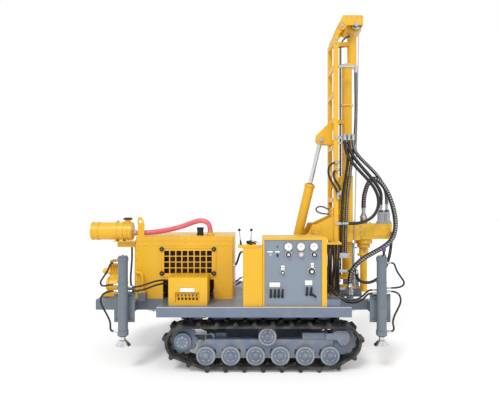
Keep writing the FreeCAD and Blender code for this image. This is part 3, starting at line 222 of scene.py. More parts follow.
def seen_directly(tree):
    """Node value that is 1 for camera, glossy and transmission rays and 0 for the light's own."""
    path = tree.nodes.new("ShaderNodeLightPath")
    total = path.outputs["Is Camera Ray"]
    for ray in ("Is Glossy Ray", "Is Transmission Ray"):
        add = tree.nodes.new("ShaderNodeMath")
        add.operation = "MAXIMUM"
        tree.links.new(total, add.inputs[0])
        tree.links.new(path.outputs[ray], add.inputs[1])
        total = add.outputs[0]
    return total


def white_world():
    """World of one plain strength for light, and full white where it is seen."""
    world = bpy.data.worlds.new("studio")
    bpy.context.scene.world = world
    world.use_nodes = True
    tree = world.node_tree
    back = tree.nodes["Background"]
    mix = tree.nodes.new("ShaderNodeMapRange")
    mix.inputs["To Min"].default_value = WORLD_STRENGTH
    mix.inputs["To Max"].default_value = 1.0
    tree.links.new(seen_directly(tree), mix.inputs["Value"])
    tree.links.new(mix.outputs[0], back.inputs["Strength"])
    back.inputs["Color"].default_value = (1, 1, 1, 1)


white_world()
print("world", WORLD_STRENGTH)

# %% [markdown]
# The floor gives off a little light of its own, so that it comes out nearly white under the rig
# without washing out the shadow. Two far lamps shape the machine: a key from the left and a soft
# fill from the other side.

# %% Floor and lamps
def studio_floor():
    """Large flat sheet under the tracks that takes the shadow."""
    half = FLOOR_SIZE / 2
    mesh = bpy.data.meshes.new("floor")
    corners = [(-half, -half, 0), (half, -half, 0), (half, half, 0), (-half, half, 0)]
    mesh.from_pydata(corners, [], [(0, 1, 2, 3)])
    paint = bpy.data.materials.new("floor_white")
    paint.use_nodes = True
    shader = paint.node_tree.nodes["Principled BSDF"]
    shader.inputs["Base Color"].default_value = (1.0, 1.0, 1.0, 1)
    shader.inputs["Roughness"].default_value = 0.9
    shader.inputs["Emission Color"].default_value = (1.0, 1.0, 1.0, 1)
    shader.inputs["Emission Strength"].default_value = 0.14
    mesh.materials.append(paint)
    floor = bpy.data.objects.new("floor", mesh)
    bpy.context.scene.collection.objects.link(floor)
    return floor


def sun(name, turn, strength, softness):
    """Far lamp with soft-edged shadows."""
    light = bpy.data.lights.new(name, "SUN")
    light.energy = strength
    light.angle = softness
    lamp = bpy.data.objects.new(name, light)
    lamp.rotation_euler = turn
    bpy.context.scene.collection.objects.link(lamp)


studio_floor()
for name, (turn, strength, softness) in SUN_TURNS.items():
    sun(name, turn, strength, softness)
bpy.context.scene.view_settings.view_transform = "Standard"
print("lamps", list(SUN_TURNS))

# %% [markdown]
# ## Finishes
# Paint on a machine is never one flat colour. Each finish here starts from a base colour that
# drifts a little with a broad noise, and has a fine bump; paint also picks up dust towards the
# ground. All noise is read from Object coordinates, so it stays on the piece when the mast tilts.

# %% A finish under construction
def linear(code):
    """Linear colour of a six-figure colour code."""
    value = np.array([int(code[i:i + 2], 16) for i in (0, 2, 4)]) / 255
    return tuple(np.where(value <= 0.04045, value / 12.92, ((value + 0.055) / 1.055) ** 2.4)) + (1.0,)


class Finish:
    """A material under construction: its node tree, its shader and the pieces most finishes need."""

    def __init__(self, name, roughness, metallic=0.0, specular=0.5):
        self.material = bpy.data.materials.new(name)
        self.material.use_nodes = True
        self.tree = self.material.node_tree
        self.shader = self.tree.nodes["Principled BSDF"]
        self.shader.inputs["Roughness"].default_value = roughness
        self.shader.inputs["Metallic"].default_value = metallic
        self.shader.inputs["Specular IOR Level"].default_value = specular
        self.place = self.tree.nodes.new("ShaderNodeTexCoord").outputs["Object"]

    def node(self, kind, inputs=(), **settings):
        """New node with its settings and its inputs, each a value or another node's output."""
        made = self.tree.nodes.new(kind)
        for key, value in settings.items():
            setattr(made, key, value)
        for key, value in dict(inputs).items():
            if isinstance(value, bpy.types.NodeSocket):
                self.tree.links.new(value, made.inputs[key])
            else:
                made.inputs[key].default_value = value
        return made

    def noise(self, scale, detail=4.0, stretch=(1, 1, 1)):
        """Noise at a scale of so many swells a metre; a stretch under 1 draws it out on that axis."""
        where = self.node("ShaderNodeMapping", {"Vector": self.place, "Scale": stretch})
        return self.node("ShaderNodeTexNoise", {"Vector": where.outputs[0], "Scale": scale,
                                                "Detail": detail}).outputs["Fac"]

    def ramp(self, value, low, high, start=0.0, end=1.0):
        """Value taken from low..high to start..end, and held at its ends."""
        return self.node("ShaderNodeMapRange", {"Value": value, "From Min": low, "From Max": high,
                                                "To Min": start, "To Max": end}).outputs[0]

    def times(self, a, b):
        return self.node("ShaderNodeMath", {0: a, 1: b}, operation="MULTIPLY").outputs[0]

    def mix(self, share, a, b):
        """Colour a, and b where share is 1."""
        return self.node("ShaderNodeMix", {0: share, 6: a, 7: b}, data_type="RGBA").outputs[2]

    def axis(self, name):
        return self.node("ShaderNodeSeparateXYZ", {0: self.place}).outputs[name]

    def colour(self, value):
        if isinstance(value, bpy.types.NodeSocket):
            self.tree.links.new(value, self.shader.inputs["Base Color"])
        else:
            self.shader.inputs["Base Color"].default_value = value

    def roughness(self, value):
        self.tree.links.new(value, self.shader.inputs["Roughness"])

    def bump(self, height, strength, distance):
        made = self.node("ShaderNodeBump", {"Height": height, "Strength": strength, "Distance": distance})
        self.tree.links.new(made.outputs[0], self.shader.inputs["Normal"])


print("a middle grey is", round(linear("808080")[0], 3), "in linear light")

# %% [markdown]
# Four families cover the rig: sprayed paint, bare metal, rubber and plastic. Each has its own way
# of looking used: paint gathers dust low down and chips, metal streaks, rubber turns grey where it
# is scuffed, and plastic only drifts a little.

# %% Paint and bare metal
DUST = linear("A79A86")


def paint(name, code, gloss=0.34, dust=0.18, dust_top=1.0, shade=0.90):
    """Sprayed paint: broad drift of the colour, dust below dust_top, small chips and orange peel."""
    made = Finish(name, gloss)
    base = linear(code)
    deep = tuple(c * shade for c in base[:3]) + (1.0,)
    colour = made.mix(made.ramp(made.noise(1.7, 3.0), 0.35, 0.7), base, deep)
    low = made.ramp(made.axis("Z"), 0.25, dust_top, dust, 0.0)
    patch = made.ramp(made.noise(9.0, 6.0), 0.42, 0.62)
    colour = made.mix(made.times(low, patch), colour, DUST)
    chips = made.ramp(made.noise(46.0, 3.0), 0.735, 0.75)
    colour = made.mix(made.times(chips, 0.5), colour, linear("5A5145"))
    made.colour(colour)
    made.roughness(made.ramp(made.noise(6.0, 5.0), 0.3, 0.75, gloss - 0.06, gloss + 0.16))
    made.bump(made.noise(420.0, 2.0), 0.08, 0.0006)
    return made.material


def metal(name, code, roughness, streak=(1, 1, 1), scale=30.0, metallic=1.0):
    """Bare metal: roughness drifts along the way it was drawn or ground, with faint dirt."""
    made = Finish(name, roughness, metallic)
    base = linear(code)
    dirt = made.ramp(made.noise(scale, 6.0, streak), 0.45, 0.8)
    made.colour(made.mix(made.times(dirt, 0.45), base, linear("6E675E")))
    drift = made.noise(scale * 1.6, 4.0, streak)
    made.roughness(made.ramp(drift, 0.3, 0.7, roughness * 0.7, roughness * 1.5))
    made.bump(made.noise(scale * 9, 2.0, streak), 0.06, 0.0004)
    return made.material


print("dust", DUST)

# %% [markdown]
# Rubber and plastic have no shine to speak of, so their grain does the work: a coarse bump for
# moulded rubber and a very fine one for plastic.

# %% Rubber and plastic
def rubber(name, code, worn, roughness=0.55, wear_scale=7.0, wear=0.5, grain=160.0):
    """Rubber: matt, greyer where it is worn, with a moulded grain."""
    made = Finish(name, roughness)
    wear_and_highlight = made.ramp(made.noise(wear_scale, 7.0), 0.45, 0.72, 0.0, wear)
    made.colour(made.mix(wear_and_highlight, linear(code), linear(worn)))
    made.roughness(made.ramp(made.noise(wear_scale * 2, 5.0), 0.3, 0.7, roughness - 0.1, roughness + 0.2))
    made.bump(made.noise(grain, 3.0), 0.15, 0.001)
    return made.material


def plastic(name, code, roughness=0.4, drift=0.85, grain=900.0):
    """Moulded plastic or enamel: nearly even colour, a fine grain and a slight drift."""
    made = Finish(name, roughness)
    base = linear(code)
    deep = tuple(c * drift for c in base[:3]) + (1.0,)
    made.colour(made.mix(made.ramp(made.noise(14.0, 3.0), 0.35, 0.7), base, deep))
    made.bump(made.noise(grain, 2.0), 0.05, 0.0003)
    return made.material


print("families of finish", [family.__name__ for family in (paint, metal, rubber, plastic)])

# %% [markdown]
# One finish for each material slot of the frame: yellow for the hood, console and mast, blue-grey
# for the deck and undercarriage, a darker grey for the jacks and rails, and rubber, iron and steel.

# %% The rig's finishes
slots = {
    "yellow_paint": paint("yellow_paint", "E9B423", dust=0.10),
    "grey_paint": paint("grey_paint", "6D7B90", dust=0.30, shade=0.86),
    "dark_paint": paint("dark_paint", "69747F", dust=0.20),
    "panel_paint": paint("panel_paint", "828D9C", gloss=0.42, dust=0.0, shade=0.95),
    "track_rubber": rubber("track_rubber", "1B1B1C", "5C5851", wear=0.75, wear_scale=11.0),
    "black_plastic": plastic("black_plastic", "161617", 0.38),
    "engine_iron": metal("engine_iron", "3A1A16", 0.62, scale=18.0, metallic=0.1),
    "bright_steel": metal("bright_steel", "B9BDC1", 0.28),
    "chrome": metal("chrome", "D9DCE0", 0.10, streak=(1, 1, 0.1)),
    "hose_rubber": rubber("hose_rubber", "141415", "3A3A3B", 0.42, wear=0.35, grain=300.0),
    "intake_rubber": rubber("intake_rubber", "D85F6B", "EE9AA2", 0.42, wear=0.35, grain=300.0),
}
for part in frame["record"]["subparts"]:
    mesh = nodes[part["node"]].data
    mesh.materials.clear()
    mesh.materials.append(slots[part["material_slot"]])

# %% [markdown]
# ## Small parts
# Bolts, screws, knobs and labels are turned or plate forms a few centimetres across. Each is made
# once about its own axis and then set in many places by one array of positions.

# %% Bolts, screws, fluted forms, rings and places
STEEL = slots["bright_steel"]


def bolt(across_flats=0.019, high=0.0085, washer=0.0022):
    """Hexagon head with a chamfer, on a round washer; it stands on z = 0."""
    corner = across_flats / math.sqrt(3)
    ring = 1.15 * corner
    head = turned([(corner, washer), (corner, washer + high * 0.8), (corner * 0.86, washer + high)], 6)
    return together(turned([(ring, 0), (ring, washer * 0.7), (ring * 0.94, washer)], 18), head)


def pan_screw(radius=0.006, high=0.003):
    """Low round-headed screw with a sunk socket in its top."""
    return turned([(radius, 0), (radius, high * 0.5), (radius * 0.8, high), (radius * 0.42, high),
                   (radius * 0.40, high * 0.35)], 14)


def fluted(profile, flutes, depth, around=72):
    """Turned form drawn in by share * depth * (1 - |sin(flutes angle / 2)|).

    Each row of the profile is (radius, height, share)."""
    radius, height, share = np.asarray(profile, float).T
    angle = np.arange(around) * 2 * math.pi / around
    drawn = radius[:, None] - depth * share[:, None] * (1 - np.abs(np.sin(flutes * angle / 2)))
    return rings_shape(about_z(drawn, angle, height))


def hoop(profile, around=40):
    """Turned ring: a closed profile of rows (radius, height), the last joined to the first.

    The sum of r h' - r' h is positive when the profile runs anticlockwise; if it is negative, the
    faces are turned round, so that they point outwards."""
    radius, height = np.asarray(profile, float).T
    angle = np.arange(around) * 2 * math.pi / around
    points = about_z(radius[:, None], angle, height)
    first, ahead = np.arange(len(radius))[:, None] * around, np.arange(around)[None, :]
    after, beside = np.roll(first, -1, axis=0), (ahead + 1) % around
    corners = [first + ahead, first + beside, after + beside, after + ahead]
    faces = np.stack(corners, axis=-1).reshape(-1, 4)
    area = (radius * np.roll(height, -1) - np.roll(radius, -1) * height).sum()
    return points.reshape(-1, 3), (faces if area > 0 else faces[:, ::-1]).tolist()


def row(start, end, count):
    """Evenly spaced places from one point to another."""
    return np.linspace(start, end, count)


def ring_places(centre, radius, count, axis="y", first=0.0):
    """Places on a circle about an axis of the frame."""
    angle = first + np.arange(count) * 2 * math.pi / count
    a, b, zero = radius * np.cos(angle), radius * np.sin(angle), np.zeros(count)
    wheel = {"x": (zero, a, b), "y": (a, zero, b), "z": (a, b, zero)}[axis]
    return np.array(centre) + np.column_stack(wheel)


NEAR = (0, -1, 0)
print("corners of a bolt", len(bolt()[0]))

# %% [markdown]
# ## Instruments on the console
# Three round pressure gauges sit over three hand wheels. A gauge is a turned bezel over a white
# dial; the marks run over three quarters of a turn, every fifth one longer, and the needle is a
# slim tapered plate. The dials carry no figures.

# %% A dial's marks and needle
DIAL_FACE = plastic("dial_white", "F4F4F0", 0.22, 0.98)
MARK_INK = plastic("mark_ink", "1A1A1C", 0.5)
NEEDLE_RED = plastic("needle_red", "B3201E", 0.4)
BEZEL = metal("bezel_rim", "B4B8BE", 0.25)
PANEL_FACE = -0.788
GAUGES = ((0.467, 1.384, 0.55), (0.606, 1.384, -0.35), (0.751, 1.384, 1.25))
GAUGE_RADIUS = 0.050
GAUGE_DEPTH = 0.018


def thin_plate(corners, height, thick):
    """Plate over an outline of (x, y) corners, from height up by thick."""
    corners = np.asarray(corners, float)
    flat = [np.column_stack([corners, np.full(len(corners), z)]) for z in (height, height + thick)]
    return rings_shape(flat)


def blade(angle, inner, outer, half_in, half_out, height, thick):
    """Tapered plate along a dial's angle from inner to outer, with half its width at each end."""
    along = np.array([math.cos(angle), math.sin(angle)])
    over = np.array([-math.sin(angle), math.cos(angle)])
    return thin_plate([inner * along - half_in * over, outer * along - half_out * over,
                       outer * along + half_out * over, inner * along + half_in * over], height, thick)


def dial_marks(radius, count=26, sweep=math.radians(270)):
    """Marks of a dial: small plates from 0.79 of the radius, every fifth from 0.70, to 0.89."""
    marks = []
    for i, angle in enumerate(np.linspace(-sweep / 2, sweep / 2, count) + math.pi / 2):
        inner = radius * (0.70 if i % 5 == 0 else 0.79)
        half = radius * (0.020 if i % 5 == 0 else 0.011)
        marks.append(blade(angle, inner, 0.89 * radius, half, half, 0.0105, 0.0004))
    return together(*marks)


def needle(radius, angle):
    """Tapered needle at an angle, with its round hub."""
    arm = blade(angle, -0.2 * radius, 0.72 * radius, 0.035 * radius, 0.01 * radius, 0.0115, 0.0008)
    hub = [(0.09 * radius, 0.0105), (0.09 * radius, 0.0135), (0.05 * radius, 0.0145)]
    return together(arm, turned(hub, 20))


print("marks on a dial", len(dial_marks(GAUGE_RADIUS)[0]) // 8)

# %% [markdown]
# The bezel is a ring with a closed profile, so that the dial shows inside it. The profile is
# written for a radius and a depth of one and then stretched to the gauge's size, which keeps its
# numbers easy to read.

# %% Three gauges on the panel
bezel = hoop([(0.94, 0), (1.0, 0.05), (1.0, 0.72), (0.97, 0.9), (0.93, 1.0), (0.89, 1.0), (0.87, 0.9),
              (0.86, 0.55), (0.86, 0.0)], 56)
bezel = (bezel[0] * (GAUGE_RADIUS, GAUGE_RADIUS, GAUGE_DEPTH), bezel[1])
dial = turned([(0.86 * GAUGE_RADIUS, 0.004), (0.86 * GAUGE_RADIUS, 0.0104)], 40)
for i, (x, z, angle) in enumerate(GAUGES):
    at = (x, PANEL_FACE, z)
    parts = (("bezel", bezel, BEZEL), ("dial", dial, DIAL_FACE),
             ("marks", dial_marks(GAUGE_RADIUS), MARK_INK),
             ("needle", needle(GAUGE_RADIUS, math.pi / 2 + angle), NEEDLE_RED))
    for name, shape, finish in parts:
        made = piece("gauge_%d_%s" % (i + 1, name), placed(shape, at, NEAR, (1, 0, 0)), finish)
        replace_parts(made, "console_gauges")
print("gauges", len(GAUGES))

# %% [markdown]
# Hand wheels and knobs are fluted: the radius is drawn in a little where the fingers go. Each
# has a bright cap in its middle. The middle wheel is pale with a red ring at its foot.

# %% Hand wheels and knobs
KNOB_BLACK = slots["black_plastic"]
KNOB_PROFILE = ((0.55, 0.0, 0), (0.55, 0.28, 0), (0.86, 0.34, 0), (1.0, 0.42, 1), (1.0, 0.80, 1),
                (0.94, 0.93, 0.6), (0.80, 1.0, 0), (0.35, 1.0, 0), (0.30, 0.94, 0))
KNOBS = (("wheel_1", 0.467, 1.298, 0.031, 0.040, 9), ("wheel_2", 0.606, 1.298, 0.031, 0.040, 9),
         ("wheel_3", 0.751, 1.298, 0.031, 0.040, 9), ("knob_small", 0.403, 1.097, 0.025, 0.030, 12),
         ("knob_large", 0.725, 1.110, 0.038, 0.034, 16))


def on_panel(shape, x, z):
    """Shape that stands out from the panel's face at x, z."""
    return placed(shape, (x, PANEL_FACE, z), NEAR)


caps = []
for name, x, z, radius, depth, flutes in KNOBS:
    profile = [(r * radius, h * depth, share) for r, h, share in KNOB_PROFILE]
    shape = placed(fluted(profile, flutes, radius * 0.10), (x, PANEL_FACE, z), NEAR, (1, 0, 0))
    finish = STEEL if name == "wheel_2" else KNOB_BLACK
    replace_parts(piece(name, shape, finish), "console_gauges")
    cap = turned([(radius * 0.48, 0), (radius * 0.48, 0.003), (radius * 0.40, 0.0045),
                  (radius * 0.12, 0.005)], 28)
    caps.append(placed(cap, (x, PANEL_FACE - depth * 0.95, z), NEAR))
piece("knob_caps", together(*caps), plastic("cap_pale", "D9DADB", 0.3, 0.95))
print("knobs", len(KNOBS))

# %% [markdown]
# Under each black knob lies a round steel plate, and under the pale wheel a rose ring. The key
# switch, the T handle and the green lamp are turned forms too, a few centimetres across.

# %% Plates, switches and the lamp
collar = hoop([(0.036, 0), (0.036, 0.003), (0.032, 0.005), (0.024, 0.005), (0.024, 0)])
piece("wheel_2_ring", on_panel(collar, 0.606, 1.298), plastic("ring_rose", "D98A8E", 0.35))
KNOB_PLATES = ((0.467, 1.298, 0.036), (0.751, 1.298, 0.036), (0.403, 1.097, 0.031), (0.725, 1.11, 0.046))
plates = [on_panel(turned([(r, 0), (r, 0.0015), (r - 0.001, 0.002)], 40), x, z)
          for x, z, r in KNOB_PLATES]
piece("knob_plates", together(*plates), STEEL)
switch = together(turned([(0.016, 0), (0.016, 0.004), (0.011, 0.006), (0.010, 0.009)], 28),
                  turned([(0.0035, 0.008), (0.0045, 0.012), (0.0030, 0.012)], 12))
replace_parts(piece("key_switch", on_panel(switch, 0.268, 1.292), STEEL), "console_gauges")
stem = turned([(0.013, 0), (0.013, 0.004), (0.006, 0.006), (0.006, 0.016)], 24)
grip = placed(turned([(0.0055, -0.018), (0.0065, -0.015), (0.0065, 0.015), (0.0055, 0.018)], 20),
              (0, 0, 0.016), (0, 1, 0))
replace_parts(piece("t_handle", on_panel(together(stem, grip), 0.347, 1.288), KNOB_BLACK),
            "console_gauges")
lens_cap = turned([(0.0095, 0.004), (0.0095, 0.007), (0.007, 0.0105), (0.003, 0.012)], 24)
rim = turned([(0.013, 0), (0.013, 0.004), (0.0115, 0.006), (0.0095, 0.006)], 24)
lamp_glass = plastic("lamp_green", "1D4A38", 0.2)
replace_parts(piece("lamp_green", on_panel(lens_cap, 0.345, 1.384), lamp_glass), "console_gauges")
piece("lamp_green_rim", on_panel(rim, 0.345, 1.384), STEEL)
print("plates", len(KNOB_PLATES))

# %% [markdown]
# Blank white labels sit on the panel and on the valve box: thin rounded plates, each on a
# slightly larger dark one that shows as its edge. The panel is held by a row of small screws
# along each side.

# %% Labels
LABEL_WHITE = plastic("label_white", "EDEEEA", 0.35, 0.97)
VALVE_FACE = -0.720
EDGE_THICK = 0.0012
EDGE_WIDTH = 0.003
LABELS = (("panel_a", 0.316, 0.960, 0.120, 0.054, PANEL_FACE),
          ("panel_b", 0.6915, 0.9825, 0.083, 0.055, PANEL_FACE),
          ("panel_c", 0.406, 1.164, 0.044, 0.022, PANEL_FACE),
          ("panel_d", 0.406, 1.138, 0.044, 0.022, PANEL_FACE),
          ("panel_e", 0.732, 1.192, 0.038, 0.024, PANEL_FACE),
          ("panel_f", 0.732, 1.164, 0.038, 0.024, PANEL_FACE),
          ("panel_g", 0.2645, 1.326, 0.058, 0.018, PANEL_FACE),
          ("panel_h", 0.3455, 1.326, 0.054, 0.018, PANEL_FACE),
          ("valve_box", -0.6625, 0.8885, 0.165, 0.045, VALVE_FACE))
for name, x, z, width, height, face in LABELS:
    edge = plate(width + 2 * EDGE_WIDTH, height + 2 * EDGE_WIDTH, EDGE_THICK, 0.004)
    sheet = plate(width, height, 0.0008, 0.003, 0.0003)
    piece("label_edge_" + name, placed(edge, (x, face, z), NEAR, (1, 0, 0)), MARK_INK)
    piece("label_" + name, placed(sheet, (x, face - EDGE_THICK, z), NEAR, (1, 0, 0)), LABEL_WHITE)
print("labels", len(LABELS))

# %% [markdown]
# The screws' places are four straight rows set in a little from the panel's outline. The rows
# along the top and the bottom leave out their ends, because the corners are in the side rows.

# %% The panel's screws
PANEL_BOX = (0.202, 0.838, 0.721, 1.458)
SCREW_INSET = 0.014
left, right = PANEL_BOX[0] + SCREW_INSET, PANEL_BOX[1] - SCREW_INSET
low, high = PANEL_BOX[2] + SCREW_INSET, PANEL_BOX[3] - SCREW_INSET
screws = np.concatenate([row((left, PANEL_FACE, low), (left, PANEL_FACE, high), 7),
                         row((right, PANEL_FACE, low), (right, PANEL_FACE, high), 7),
                         row((left, PANEL_FACE, low), (right, PANEL_FACE, low), 6)[1:-1],
                         row((left, PANEL_FACE, high), (right, PANEL_FACE, high), 6)[1:-1]])
piece("panel_screws", copies(pan_screw(), screws, NEAR), STEEL)
print("screws", len(screws))

# %% [markdown]
# ## Levers
# Every lever is a steel rod in a small ribbed boot with a black grip. The grip of a long lever is
# a slim barrel; the short jack levers and the travel levers end in a ball. A limb is a turned form
# laid from one point to another.

# %% Limbs, boots and balls
def limb(start, end, profile, around=20):
    """Turned form from start to end; each row is (radius, share of the length)."""
    start, end = np.array(start, float), np.array(end, float)
    length = np.linalg.norm(end - start)
    return placed(turned([(radius, share * length) for radius, share in profile], around), start, end - start)


def boot(start, end, radius):
    """Ribbed boot over the first third of a lever."""
    share = np.linspace(0.0, 0.34, 9)
    ribs = radius * (1.0 - 1.5 * share) * (1.0 + 0.10 * np.cos(np.arange(9) * math.pi))
    return limb(start, end, list(zip(ribs, share)))


def ball(radius, rows=9):
    """Profile of a ball on a short neck, as (radius, height above its middle)."""
    angle = np.linspace(-math.pi / 2 + 0.45, math.pi / 2 - 0.02, rows)
    return list(zip(radius * np.cos(angle), radius * np.sin(angle)))


print("rows of a ball", len(ball(0.0098)))

# %% [markdown]
# Three groups of levers have their places as pairs of points, foot and end: those low on the
# console, the six short ones of the valve box, and the two for travel on top of the tank.

# %% Levers of the console, the valve box and travel
console_levers = [((x, PANEL_FACE, 0.826), (x, -0.848, 0.914)) for x in (0.272, 0.316, 0.358, 0.400)]
console_levers += [((0.670, PANEL_FACE, 0.848), (0.670, -0.848, 0.938)),
                   ((0.716, PANEL_FACE, 0.848), (0.716, -0.848, 0.938)),
                   ((0.716, PANEL_FACE, 0.862), (0.766, -0.838, 0.836))]
jack_levers = [((-0.762 + 0.041 * i, -0.700, 0.782), (-0.762 + 0.041 * i, -0.738, 0.834)) for i in range(6)]
travel_levers = [((-0.060, -0.730, 1.398), (-0.078, -0.730, 1.565)),
                 ((0.050, -0.730, 1.398), (0.057, -0.730, 1.565))]
LONG_GRIP = ((0.007, 0.34), (0.0118, 0.38), (0.0124, 0.60), (0.0112, 0.72), (0.0130, 0.92),
             (0.0122, 1.02), (0.008, 1.07))

rods, grips, boots, balls = [], [], [], []
for start, end in console_levers:
    rods.append(limb(start, end, ((0.0045, 0.1), (0.0045, 0.9)), 12))
    grips.append(limb(start, end, LONG_GRIP))
    boots.append(boot(start, end, 0.016))
for start, end in jack_levers:
    rods.append(limb(start, end, ((0.004, 0.05), (0.004, 0.9)), 12))
    boots.append(boot(start, end, 0.012))
    balls.append(placed(turned(ball(0.0098), 16), end, np.subtract(end, start)))
for start, end in travel_levers:
    rods.append(limb(start, end, ((0.0065, 0.0), (0.0065, 0.95)), 14))
    boots.append(boot(start, end, 0.015))
    balls.append(placed(turned(ball(0.0165, 13), 24), end, np.subtract(end, start)))
link = limb((0.052, -0.730, 1.440), (0.150, -0.730, 1.415), ((0.006, 0), (0.006, 1)), 14)
pivot = placed(plate(0.235, 0.080, 0.035, 0.006, 0.003), (0.0225, -0.730, 1.363), (0, 0, 1), (1, 0, 0))
lever_parts = (("lever_rods", rods + [link], STEEL), ("lever_grips", grips, KNOB_BLACK),
               ("lever_boots", boots, slots["hose_rubber"]), ("lever_balls", balls, KNOB_BLACK),
               ("lever_pivot", [pivot], slots["yellow_paint"]))
for name, shapes, finish in lever_parts:
    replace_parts(piece(name, together(*shapes), finish), "hand_levers")
print("levers", len(console_levers) + len(jack_levers) + len(travel_levers))

# %% [markdown]
# ## Undercarriage
# The belt's middle line is a chain of arcs round four wheels and the straight runs between them.
# With the outward normal at angle t, a wheel at (x, z) of radius r gives the point
# (x + r cos t, z + r sin t), and between two wheels the normal keeps the angle at which the
# straight run touches both.

# %% The belt's line
WHEELS = np.array([(-0.710, 0.322, 0.174), (1.085, 0.322, 0.174), (0.9299, 0.168, 0.121),
                   (-0.4486, 0.168, 0.121)])
BELT_HALF = 0.014
BELT_Y = 0.680
RIB_COUNT = 46
ARC_POINTS = 40


def belt_line(count):
    """Evenly spaced points (x, z) and outward normal angles on the belt's middle line."""
    following = np.roll(WHEELS, -1, axis=0)
    step = following[:, :2] - WHEELS[:, :2]
    apart = np.hypot(step[:, 0], step[:, 1])
    angle = np.arctan2(step[:, 1], step[:, 0]) + np.arccos((WHEELS[:, 2] - following[:, 2]) / apart)
    points, normals = [], []
    for i, (x, z, r) in enumerate(WHEELS):
        turn = (angle[i - 1] - angle[i]) % (2 * math.pi)
        t = angle[i - 1] - np.linspace(0, turn, ARC_POINTS)
        points.append(np.column_stack([x + r * np.cos(t), z + r * np.sin(t)]))
        normals.append(t)
    points = np.concatenate(points + points[:1])
    normals = np.unwrap(np.concatenate(normals + normals[:1]))
    length = np.concatenate([[0], np.cumsum(np.linalg.norm(np.diff(points, axis=0), axis=1))])
    loop = length[-ARC_POINTS]
    at = np.arange(count) * loop / count
    line = np.column_stack([np.interp(at, length, points[:, k]) for k in (0, 1)])
    return line, np.interp(at, length, normals)


print("the belt's line starts at", belt_line(RIB_COUNT)[0][0].round(3))

# %% [markdown]
# The belt's inner face has two rows of low ribs that keep it between the wheels. A rib is a small
# block drawn in over three heights, and its own height runs against the line's outward normal.

# %% Ribs inside the belts
RIB_ROWS = (-0.047, 0.047)
RIB_FORM = ((0.0, 0.022, 0.011), (0.014, 0.014, 0.010), (0.018, 0.011, 0.008))


def inner_ribs(side):
    """Two rows of ribs; each row of the form is (height, half length, half width)."""
    places, normal = belt_line(RIB_COUNT)
    inward = -np.column_stack([np.cos(normal), np.zeros(RIB_COUNT), np.sin(normal)])
    along = np.column_stack([-np.sin(normal), np.zeros(RIB_COUNT), np.cos(normal)])
    shapes = []
    for row_y in RIB_ROWS:
        across = np.full(RIB_COUNT, side * BELT_Y + row_y)
        middle = np.column_stack([places[:, 0], across, places[:, 1]])
        for place, up, ahead in zip(middle, inward, along):
            rings = []
            for height, half, wide in RIB_FORM:
                corners = np.array([(-half, -wide), (half, -wide), (half, wide), (-half, wide)])
                rings.append(place + up * (BELT_HALF + height) + corners[:, :1] * ahead +
                             corners[:, 1:] * np.array([0, 1, 0]))
            shapes.append(rings_shape(rings))
    return together(*shapes)


for name, side in (("right", -1), ("left", 1)):
    piece("track_ribs_" + name, inner_ribs(side), slots["track_rubber"])
print("belt ribs", 4 * RIB_COUNT)

# %% [markdown]
# Each roller gets a ring of bolts, a domed cap with a grease plug and a rim that is rubbed bright
# by the belt. The sprocket and the idler have their own bolt circles.

# %% Rollers, sprocket and idler
RIM_WORN = metal("rim_worn", "9AA0A8", 0.45, scale=60.0, metallic=0.7)
ROLLER_FACE = 0.785
RIM_FORM = ((0.965, 0), (0.965, 0.0012), (0.90, 0.0016), (0.80, 0.0012), (0.80, 0))
SPROCKET_BOLTS = (-0.710, 0.788, 0.052, 8)
IDLER_BOLTS = (1.085, 0.740, 0.036, 6)
rollers = [(-0.4486 + 0.2757 * i, 0.168, 0.107) for i in range(6)] + [(0.236, 0.382, 0.100)]
for name, side in (("right", -1), ("left", 1)):
    out = (0, side, 0)
    rims, bolts, caps = [], [], []
    for x, z, r in rollers:
        rim = hoop([(r * share, height) for share, height in RIM_FORM])
        rims.append(placed(rim, (x, side * ROLLER_FACE, z), out))
        bolts.append(copies(bolt(0.015, 0.006), ring_places((x, side * 0.773, z), r * 0.55, 6), out))
        cap = turned([(r * 0.31, 0), (r * 0.31, 0.004), (r * 0.24, 0.010), (r * 0.10, 0.013),
                      (0.008, 0.013), (0.008, 0.018), (0.005, 0.020)], 28)
        caps.append(placed(cap, (x, side * 0.790, z), out))
    for x, face, radius, count in (SPROCKET_BOLTS, IDLER_BOLTS):
        circle = ring_places((x, side * face, 0.322), radius, count)
        bolts.append(copies(bolt(0.017, 0.008), circle, out))
    piece("roller_rims_" + name, together(*rims), RIM_WORN)
    piece("roller_bolts_" + name, together(*bolts), STEEL)
    piece("roller_caps_" + name, together(*caps), slots["grey_paint"])
print("rollers", len(rollers) * 2)

# %% [markdown]
# ## Jacks
# Each levelling jack has four bands round its tube, a wiper ring where the bright rod leaves it, a
# lid with four bolts round a larger one, and a cone on its round foot. Its foot moves with the rod,
# so the cone is a piece of its own for each jack. On the near jacks, hexagon nuts close the ports.

